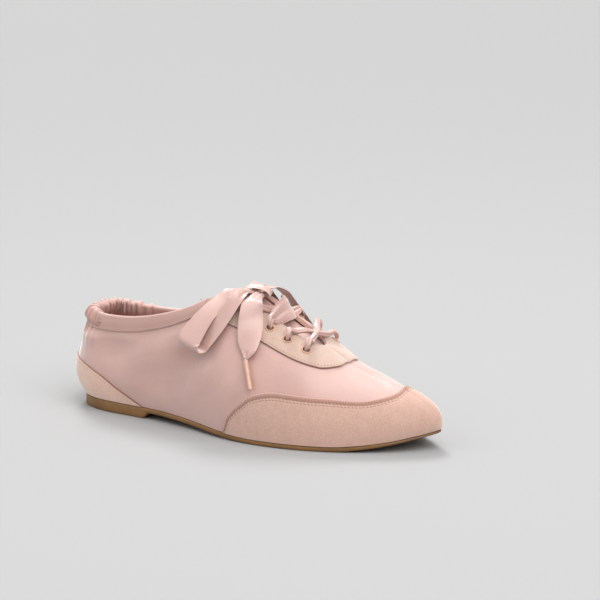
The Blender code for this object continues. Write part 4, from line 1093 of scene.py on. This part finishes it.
phase = pleat_phase(share)
pleat = (0.5 - 0.5 * np.cos(phase)) ** 1.4
pleat = pleat * (0.80 + 0.20 * np.sin(0.37 * phase + 1.0))
scallop = (0.5 - 0.5 * np.cos(phase * 0.5 + 0.4)) * 0.6 + 0.4 * pleat
wave = 1.0 + 0.25 * np.sin(np.mod(band_w, LOOP) * 3.1)
band_length = wall_length(band_w)
top_edge = upper_point(band_w, np.ones(len(band_w)), np.zeros(len(band_w)))
below_edge = upper_point(band_w, np.full(len(band_w), 0.97), np.zeros(len(band_w)))
band_up = unit(top_edge - below_edge)
band_out = upper_normal(band_w, np.full(len(band_w), 0.98))
at_end = smooth_step(np.abs(band_w), 5.7, 6.1)
columns = []
for down, out, puff, lift in profile:
    reach = out + gathered * (PLEAT_REST + PLEAT_REACH * pleat) * puff
    reach += (1.0 - gathered) * FLAT_WAVE * wave * puff + at_end * END_SPREAD * np.sign(puff)
    rise = gathered * SCALLOP_RISE * scallop * lift
    if down > 0:
        point = upper_point(band_w, 1.0 - down / band_length, reach) + band_up * rise[:, None]
    else:
        point = top_edge + band_up * (rise - down)[:, None] + band_out * reach[:, None]
    skew = gathered * PLEAT_SKEW * np.sin(phase) * np.clip(puff, 0.0, 1.0)
    point = point + np.cross(band_out, band_up) * skew[:, None]
    columns.append(point)
band = np.stack(columns, axis=1)
faces = [tuple(face) for face in grid_faces(*band.shape[:2])]
last_point = band.shape[0] * band.shape[1] - 1
faces += [tuple(range(len(profile))), tuple(last_point - k for k in range(len(profile)))]
piece("collar_band", band, faces, [binding_skin], uv=cloth_map(band)[..., ::-1],
      replaces=["collar_binding"])
for side, first, last in (("lateral", 2.55, 5.95), ("medial", -5.95, -3.3)):
    stitches(f"collar_stitches_{side}", "collar", np.arange(first, last, 0.02), 1.0, 0.00098, 0.0083)

# The tack that holds the elastic's end: middle, distance down and slant of each stitch
TACKS = ((2.50, 0.0030, 110), (2.53, 0.0055, 70), (2.47, 0.0074, 110))
for number, (middle, down, slant) in enumerate(TACKS, start=1):
    w = np.linspace(middle - 0.16, middle + 0.16, 30)
    stitches(f"heel_tack_{number}", "tack", w, 1.0, 0.0013, down, math.radians(slant))

# Tongue
TONGUE_ROOT_STATION = 10.8
TONGUE_UNDER_FACING = 0.012
TONGUE_ACROSS = 45
TONGUE_SAG_FULL_STATION = 7.4
TONGUE_SAG_FIRST_STATION = 9.0
TONGUE_SHEET = 0.0016


def even_steps(points, count):
    """Points spread evenly along a run of points."""
    lengths = arc_lengths(points)
    places = np.linspace(0.0, lengths[-1], count)
    return read_along(places, lengths, points)


def tongue_section(s, depth, under):
    """Points across the tongue at a station, at a depth below the upper's outer face."""
    runs = []
    for w in (s, LOOP - s):
        length = float(wall_length(w)[0])
        v = 1.0 - np.linspace(under, 0.0, 12) / length
        runs.append(upper_point(np.full(12, w), v, np.full(12, -depth)))
    lateral, medial = runs
    gap = float(np.linalg.norm(medial[-1] - lateral[-1]))
    if gap < 2 * CLEARANCE:
        return even_steps(np.concatenate([lateral[:-1], medial[::-1]]), TONGUE_ACROSS)
    start = unit(lateral[-1] - lateral[-2])
    end = unit(medial[-2] - medial[-1])
    t = np.linspace(0, 1, 16)[:, None]
    bridge = hermite(t, lateral[-1], medial[-1], gap * start, gap * end)
    sag = TONGUE_SAG * (1.0 - smooth_step(s, TONGUE_SAG_FULL_STATION, TONGUE_SAG_FIRST_STATION))
    bridge[:, 2:] -= sag * np.sin(math.pi * t)
    return even_steps(np.concatenate([lateral[:-1], bridge, medial[-2::-1]]), TONGUE_ACROSS)


def tongue_face(depth):
    """One face of the tongue, with its free end drawn on past the collar."""
    stations = np.concatenate([np.arange(TONGUE_ROOT_STATION, 9.6, -0.06), np.arange(9.6, 6.99, -0.05)])
    sections = []
    for s in stations:
        under = TONGUE_UNDER_FACING * (0.15 + 0.85 * float(smooth_step(s, 7.0, 8.4)))
        sections.append(tongue_section(float(s), depth, under))
    reach = unit(sections[-1] - sections[-3])
    for step in (0.0007, 0.00065, 0.00065):
        sections.append(sections[-1] + reach * step)
    return np.stack(sections)


tongue_top = tongue_face(UPPER_WALL + TONGUE_GAP)
tongue_under = tongue_face(UPPER_WALL + TONGUE_GAP + TONGUE_SHEET)
across = np.linspace(-1.0, 1.0, TONGUE_ACROSS)[None, :, None]
down = np.linspace(0.0, 1.0, len(tongue_top))[:, None, None]
tongue_bump = 0.0004 * np.exp(-(across / 0.55) ** 2) * np.sin(9.0 * down + 3.0 * across)
tongue_top[..., 2:] += tongue_bump - 0.0003
rounded = 0.5 * (tongue_top[-1] + tongue_under[-1]) + unit(tongue_top[-1] - tongue_top[-2]) * 0.0007
section = np.concatenate([tongue_top, rounded[None], tongue_under[::-1]])
edge_left = 0.5 * (section[:, :1] + section[::-1, :1])
edge_right = 0.5 * (section[:, -1:] + section[::-1, -1:])
section = np.concatenate([edge_left, section, edge_right], axis=1)
piece("tongue_satin", section, grid_faces(*section.shape[:2]), [satin_skin], uv=cloth_map(section),
      replaces=["tongue"])

# Insole: a soft sock with a rounded edge
insole_inset = FEATHER_INSET + UPPER_WALL + 2 * CLEARANCE
sock = []
for inset, lift in ((0.0, 0.0004), (0.0, 0.0014), (0.0004, 0.0020), (0.0012, 0.0022), (0.0022, 0.0022)):
    x, y = outline(sole_loop, insole_inset + inset)
    sock.append(np.stack([x - HEEL_REST_ALONG, y, sole_top(x) + CLEARANCE + lift], axis=-1))
faces = [tuple(face) for face in grid_faces(len(sole_loop), len(sock), closed=True)]
faces += across_sole(len(sock), len(sock) - 1)
piece("insole_sock", np.stack(sock, axis=1), faces, [cloth("insole_weave", (0.520, 0.330, 0.270), 1200.0)],
      replaces=["insole"])

# Ribbon lace
RIBBON_FULL_WIDTH = 0.0155
RIBBON_SHEET = 0.00035


def ribbon_frame(rows, count):
    """Centre, direction across, direction out of the face and drawn width along a ribbon."""
    path = smooth_rows(rows, count)
    centre, turn, width = np.split(path, (3, 6), axis=1)
    along = unit(np.gradient(centre, axis=0))
    turn = unit(turn - along * (turn * along).sum(axis=1)[:, None])
    return centre, turn[:, None], np.cross(along, turn)[:, None], width


def ribbon_piece(name, ring, run, girth, replaces):
    """A closed ribbon from rings of points, mapped along its run and round its girth."""
    uv = np.stack(np.broadcast_arrays(run[:, None], girth[None]), axis=-1)
    return piece(name, ring, tube_faces(*ring.shape[:2]), [ribbon_skin], uv=uv, sharp=60.0, weld=0.0,
                 replaces=replaces)


def ribbon_sheet(name, rows, count, pleats, phase, cup=0.0, fold=0.34, open_width=RIBBON_FULL_WIDTH,
                 trough=0.0, replaces=()):
    """A ribbon of full width along rows of place, direction across and drawn width: where it is drawn
    narrower, its cloth lies in pleats. Returns the piece and the points down its middle."""
    centre, turn, face, width = ribbon_frame(rows, count)
    t = np.linspace(-0.5, 0.5, 25)
    narrow = np.clip(1.0 - width / open_width, 0.0, 0.85)
    drift = phase + 0.9 * np.sin(np.linspace(0.0, 5.0, count))[:, None]
    turns = 2 * math.pi * pleats * t + drift
    wave = np.sin(turns) + 0.35 * np.sin(4.3 * math.pi * pleats * t)
    lift = fold * narrow ** 0.8 * width * 0.5 * wave + cup * width * (0.25 - t ** 2)
    slow = np.sin(np.linspace(0.0, 14.0, count) + phase)[:, None]
    lift += trough * (1.0 - narrow) * slow * np.sin(math.pi * t * 1.2 + 0.6 * slow)
    sway = 0.10 * narrow * np.cos(turns) * width
    points = centre[:, None] + turn * (t * width + sway)[..., None] + face * lift[..., None]
    normal = unit(np.cross(np.gradient(points, axis=0), np.gradient(points, axis=1)))
    thickness = 0.5 * RIBBON_SHEET * np.where(np.abs(t) > 0.49, 0.4, 1.0)[None, :, None]
    top = points + normal * thickness
    under = points - normal * thickness
    ring = np.concatenate([top, under[:, ::-1]], axis=1)
    girth = np.concatenate([t, t[::-1]]) * RIBBON_FULL_WIDTH
    return ribbon_piece(name, ring, arc_lengths(centre), girth, replaces), centre


EYELET_TURN = table(("height", "reach"), (
    (-0.8, 0.0), (1.2, 0.0), (3.0, 0.0), (4.4, 1.6), (4.8, 4.7),
))
CORD_WIDTHS = (2.4, 2.4, 2.4, 3.4, 4.2)
SPREAD_WIDTHS = (2.4, 2.4, 2.4, 3.4, 5.6)
# Middle rows of each lace: share of the way, forward and up in millimetres, and drawn width
FIRST_CROSS = (
    (0.173, 1.9, 4.3, 4.2), (0.352, 2.7, 4.8, 4.2), (0.560, 2.7, 5.0, 4.2), (0.769, 1.2, 5.2, 4.2),
)
SECOND_CROSS = (
    (0.209, -1.6, 5.7, 4.2), (0.386, -0.2, 6.6, 4.2), (0.593, 0.9, 5.4, 4.2), (0.800, 1.5, 4.7, 4.2),
)
REAR_FIRST_CROSS = (
    (0.17, 3.4, 5.8, 11.0), (0.42, 7.6, 7.6, 14.5), (0.66, 9.0, 6.8, 15.0), (0.86, 6.2, 5.8, 12.0),
)
REAR_SECOND_CROSS = ((0.254, -1.1, 6.2, 8.5), (0.513, -1.8, 4.2, 10.0), (0.786, -0.2, 3.6, 9.5))
TOP_BAR = (
    (0.179, 2.5, 8.0, 4.2), (0.341, 3.0, 6.9, 5.5), (0.541, 2.6, 6.6, 8.0), (0.741, 1.8, 7.1, 7.0),
    (0.906, 0.6, 8.8, 5.0),
)


def from_eyelet(eyelet, across, widths):
    """Rows that rise out of an eyelet and turn inwards."""
    centre, outward, inward = eyelet
    rows = []
    for height, reach, width in zip(EYELET_TURN["height"], EYELET_TURN["reach"], widths):
        place = centre + (outward * height + inward * reach) * MM
        rows.append((*place, *across, width * MM))
    return rows


def lace_rows(start, end, middle, across, widths):
    """Rows of a lace between two eyelets."""
    rows = from_eyelet(start, across, widths)
    for share, forward, up, width in middle:
        place = start[0] + (end[0] - start[0]) * share + np.array([forward, 0.0, up]) * MM
        rows.append((*place, *across, width * MM))
    rows += reversed(from_eyelet(end, across, widths))
    return rows


def drawn_cord(name, rows, phase, replaces=()):
    """The ribbon drawn together into a soft cord, with its folds running along it."""
    centre, turn, face, width = ribbon_frame(rows, 90)
    angle = 2 * math.pi * np.arange(40) / 40
    distance = arc_lengths(centre)
    run = distance[:, None]
    twist = angle + 0.5 * np.sin(run / 0.006 + phase)
    lobes = 1.0 + 0.10 * np.cos(5 * twist + phase) + 0.07 * np.cos(3 * twist - 2.0 * phase)
    radius = lobes * (1.0 - 0.16 * np.exp(-((np.sin(0.5 * twist + 0.8 * phase)) / 0.16) ** 2))
    half = 0.5 * width * (0.93 + 0.07 * np.sin(run / 0.0043 + phase))
    flat = np.minimum(half, 0.00155 + 0.00015 * np.sin(run / 0.003 + phase))
    ring = (centre[:, None] + turn * (np.cos(angle) * half * radius)[..., None]
            + face * (np.sin(angle) * flat * radius)[..., None])
    return ribbon_piece(name, ring, distance, angle * 0.0025, replaces)


lateral, medial = eyelets["lateral"], eyelets["medial"]
drawn_cord("lace_cross_1", lace_rows(lateral[0], medial[1], FIRST_CROSS, (0.90, 0.35, -0.30), CORD_WIDTHS),
           0.4, ["lace_front_cross"])
drawn_cord("lace_cross_2", lace_rows(lateral[1], medial[0], SECOND_CROSS, (0.90, -0.35, -0.30), CORD_WIDTHS),
           2.1)
ribbon_sheet("lace_cross_3",
             lace_rows(lateral[2], medial[3], REAR_FIRST_CROSS, (0.44, 0.20, -0.87), SPREAD_WIDTHS),
             110, pleats=2.2, phase=0.8, cup=0.12, replaces=["lace_rear_cross"])
ribbon_sheet("lace_cross_4",
             lace_rows(lateral[3], medial[2], REAR_SECOND_CROSS, (0.85, -0.30, -0.42), SPREAD_WIDTHS),
             110, pleats=2.0, phase=2.6, cup=0.10)
ribbon_sheet("lace_bar", lace_rows(lateral[4], medial[4], TOP_BAR, (0.84, 0.0, -0.54), CORD_WIDTHS),
             90, pleats=2.0, phase=1.1, replaces=["lace_top_bar"])

# Bow: each half leaves the knot as a loop, comes back into it and runs out as a tail. Rows are the
# place from the middle of the top eyelets, the direction across and the drawn width, in millimetres.
LATERAL_LOOP = (
    (-0.1, -5.2, 10.6, 0.94, -0.10, -0.25, 6.0),
    (-1.9, -8.8, 11.0, 0.94, -0.10, -0.25, 7.0),
    (-4.8, -14.3, 11.1, 0.94, -0.10, -0.25, 8.0),
    (-6.9, -20.3, 6.8, 0.94, -0.10, -0.32, 11.0),
    (-11.1, -31.3, -1.3, 0.94, -0.10, -0.32, 13.0),
    (-15.4, -39.6, -11.8, 0.94, -0.10, -0.32, 15.5),
    (-16.4, -42.4, -16.6, 0.94, -0.12, -0.25, 15.5),
    (-16.2, -42.1, -19.6, 0.93, -0.20, -0.20, 15.5),
    (-14.8, -39.6, -21.0, 0.90, -0.30, -0.25, 15.5),
    (-12.6, -37.0, -19.2, 0.88, -0.25, -0.40, 15.0),
    (-9.6, -35.6, -15.2, 0.90, -0.20, -0.38, 14.0),
    (-1.9, -31.0, -4.7, 0.94, -0.10, -0.32, 11.0),
    (4.9, -21.6, 8.6, 0.94, -0.10, -0.32, 7.5),
    (4.4, -12.8, 11.6, 0.94, -0.10, -0.25, 6.0),
    (3.9, -5.6, 9.8, 0.94, -0.10, -0.25, 5.5),
)
LATERAL_TAIL = (
    (9.6, -4.8, 8.2, 0.90, 0.30, -0.30, 6.0),
    (11.8, -10.8, 7.9, 0.84, 0.48, -0.10, 8.0),
    (13.9, -18.2, 6.2, 0.77, 0.63, 0.20, 12.5),
    (15.8, -23.2, -3.7, 0.64, 0.74, 0.20, 15.0),
    (19.1, -29.9, -12.9, 0.83, 0.50, 0.12, 14.0),
    (21.1, -33.9, -18.9, 0.90, 0.35, 0.10, 10.0),
    (21.1, -36.5, -23.5, 0.90, 0.35, 0.10, 3.4),
)
MEDIAL_LOOP = (
    (5.9, 11.3, 9.7, 0.86, -0.46, 0.15, 6.0),
    (8.6, 17.7, 9.1, 0.78, -0.55, 0.30, 8.0),
    (12.2, 23.5, 4.2, 0.58, -0.64, 0.50, 11.0),
    (17.4, 26.2, -4.6, 0.45, -0.68, 0.58, 14.0),
    (20.8, 29.0, -11.9, 0.50, -0.66, 0.56, 15.0),
    (22.8, 30.9, -16.9, 0.60, -0.66, 0.40, 15.5),
    (22.2, 30.4, -19.6, 0.68, -0.68, 0.22, 15.5),
    (20.0, 28.6, -19.2, 0.72, -0.68, 0.05, 15.5),
    (16.6, 26.6, -14.6, 0.74, -0.66, -0.05, 15.0),
    (11.8, 23.6, -7.6, 0.78, -0.60, -0.08, 13.0),
    (7.0, 20.4, -0.6, 0.82, -0.52, -0.05, 10.0),
    (3.8, 17.0, 6.0, 0.86, -0.46, 0.00, 8.0),
    (2.7, 13.6, 9.0, 0.90, -0.42, 0.00, 6.0),
)
MEDIAL_TAIL = (
    (-2.4, 10.2, 10.7, 0.90, 0.30, -0.20, 5.5),
    (-3.9, 18.2, 10.1, 0.95, 0.20, -0.15, 8.5),
    (-5.5, 26.7, 4.9, 0.97, 0.05, -0.15, 12.5),
    (-5.9, 33.5, -6.6, 0.98, 0.05, -0.10, 15.0),
    (-4.9, 36.9, -19.1, 0.98, 0.10, 0.00, 12.0),
    (-3.4, 38.9, -25.6, 0.98, 0.10, 0.00, 3.4),
)
AGLET_ENDS = {
    "lateral": ((21.2, -37.3, -24.7), (27.6, -42.1, -40.6)),
    "medial": ((-3.2, 39.0, -26.3), (0.6, 39.9, -43.8)),
}
KNOT_CENTRE = (2.9, 2.7, 7.3)
KNOT_ALONG_BAR = (-0.35, 0.93, 0.10)
KNOT_HALF_SIZE = (9.2, 4.6)
KNOT_WIDTH = 8.8
KNOT_OPEN_ANGLE = 0.15
KNOT_TILT = 0.06
# Rows inside the knot, from the loop's end to the tail's start
THROUGH_KNOT = {
    "lateral": ((4.4, 0.0, 9.0, 0.90, 0.10, -0.30, 5.0), (6.6, 1.6, 8.3, 0.60, 0.60, -0.30, 4.5),
                (8.4, -0.6, 8.2, 0.85, 0.35, -0.30, 5.0)),
    "medial": ((1.6, 9.0, 9.4, 0.60, -0.20, -0.70, 5.0), (-0.6, 5.6, 9.0, 0.80, 0.30, -0.40, 4.5),
               (-1.6, 7.0, 9.9, 0.90, 0.30, -0.25, 5.0)),
}
# Loop, tail, number of rings and phase of the pleats of each half
HALVES = {"lateral": (LATERAL_LOOP, LATERAL_TAIL, 330, 0.3), "medial": (MEDIAL_LOOP, MEDIAL_TAIL, 300, 1.9)}

bow_anchor = 0.5 * (lateral[-1][0] + medial[-1][0])


def from_anchor(rows):
    """Rows of the bow in metres, in the part's frame."""
    return [(*(bow_anchor + np.array(row[:3]) * MM), *row[3:6], row[6] * MM) for row in rows]


def wrap_rows():
    """The wrap of the knot: an arch of ribbon over the bar and the bow's roots."""
    axis = unit(np.array(KNOT_ALONG_BAR))
    level = unit(np.cross(axis, (0.0, 0.0, 1.0)))
    upward = unit(np.cross(level, axis))
    toward = level * math.cos(KNOT_TILT) - upward * math.sin(KNOT_TILT)
    raised = unit(np.cross(toward, axis))
    rows = []
    for angle in np.linspace(-KNOT_OPEN_ANGLE, math.pi + KNOT_OPEN_ANGLE, 13):
        reach = toward * math.cos(angle) * KNOT_HALF_SIZE[0] + raised * math.sin(angle) * KNOT_HALF_SIZE[1]
        rows.append((*(np.array(KNOT_CENTRE) + reach), *axis, KNOT_WIDTH))
    return rows


knot, _ = ribbon_sheet("bow_knot_wrap", from_anchor(wrap_rows()), 70, pleats=1.1, phase=0.9, cup=0.04,
                       fold=0.07, replaces=["bow_knot"])


AGLET_SIDES = 20
# Shares of its length and of AGLET_RADIUS
AGLET_PROFILE = (
    (-0.05, 0.55), (0.0, 1.02), (0.03, 1.0), (0.5, 0.93), (0.96, 0.86), (0.99, 0.70), (1.0, 0.05),
)


def aglet(side):
    """The tip of a lace: a sleeve with a lapped seam, a little narrower towards its end."""
    start, end = [bow_anchor + np.array(place) * MM for place in AGLET_ENDS[side]]
    axis = unit(end - start)
    across = unit(np.cross(axis, (0.0, 0.0, 1.0)))
    angles = 2 * math.pi * np.arange(AGLET_SIDES) / AGLET_SIDES
    circle = np.outer(np.cos(angles), across) + np.outer(np.sin(angles), np.cross(axis, across))
    circle *= (AGLET_RADIUS * (1.0 + 0.05 * (np.abs(angles - math.pi) < 0.4)))[:, None]
    rings = np.stack([start + (end - start) * share + circle * size
                      for share, size in smooth_rows(AGLET_PROFILE, 40)])
    return piece(f"aglet_tip_{side}", rings, tube_faces(*rings.shape[:2]), [aglet_skin], weld=0.0,
                 replaces=[f"aglet_{side}"])


for side, (loop, tail, count, phase) in HALVES.items():
    rows = from_anchor(loop + THROUGH_KNOT[side] + tail)
    strand, middle = ribbon_sheet(f"bow_strand_{side}", rows, count, pleats=1.3, phase=phase, cup=0.05,
                                  fold=0.30, open_width=0.0095, trough=0.0011,
                                  replaces=[f"bow_loop_{side}", f"bow_tail_{side}"])
    tip = aglet(side)

# Floor and light
floor_mesh = bpy.data.meshes.new("floor")
floor_mesh.from_pydata([(-6, -6, 0), (6, -6, 0), (6, 6, 0), (-6, 6, 0)], [], [(0, 1, 2, 3)])
floor_mesh.materials.append(new_material("floor_paint", (0.335, 0.335, 0.335), 0.9)[0])
floor = bpy.data.objects.new("floor", floor_mesh)
scene.collection.objects.link(floor)


def softbox(name, place, size, power, toward):
    """A rectangular light that points at a place."""
    data = bpy.data.lights.new(name, "AREA")
    data.shape = "RECTANGLE"
    data.size, data.size_y = size
    data.energy = power
    light = bpy.data.objects.new(name, data)
    scene.collection.objects.link(light)
    light.location = place
    light.rotation_euler = (Vector(toward) - Vector(place)).to_track_quat("-Z", "Y").to_euler()


def sun(name, place, strength, angle):
    """Even light from the direction of a place, as wide as an angle in degrees."""
    data = bpy.data.lights.new(name, "SUN")
    data.energy = strength
    data.angle = math.radians(angle)
    light = bpy.data.objects.new(name, data)
    scene.collection.objects.link(light)
    light.location = place
    light.rotation_euler = Vector(place).to_track_quat("Z", "Y").to_euler()


sun("key", (-0.57, 0.62, 1.0), 2.2, 20.0)
sun("toe_side", (0.75, -0.38, 1.0), 2.3, 55.0)
sun("heel_side", (-0.75, -0.85, 0.80), 0.55, 40.0)
softbox("softbox", (0.25, 0.15, 1.2), (0.9, 0.7), 4.0, (0.09, 0.0, 0.03))
world = bpy.data.worlds.new("world")
world.use_nodes = True
world.node_tree.nodes["Background"].inputs["Color"].default_value = (1.0, 1.0, 1.0, 1.0)
world.node_tree.nodes["Background"].inputs["Strength"].default_value = 0.60
scene.world = world
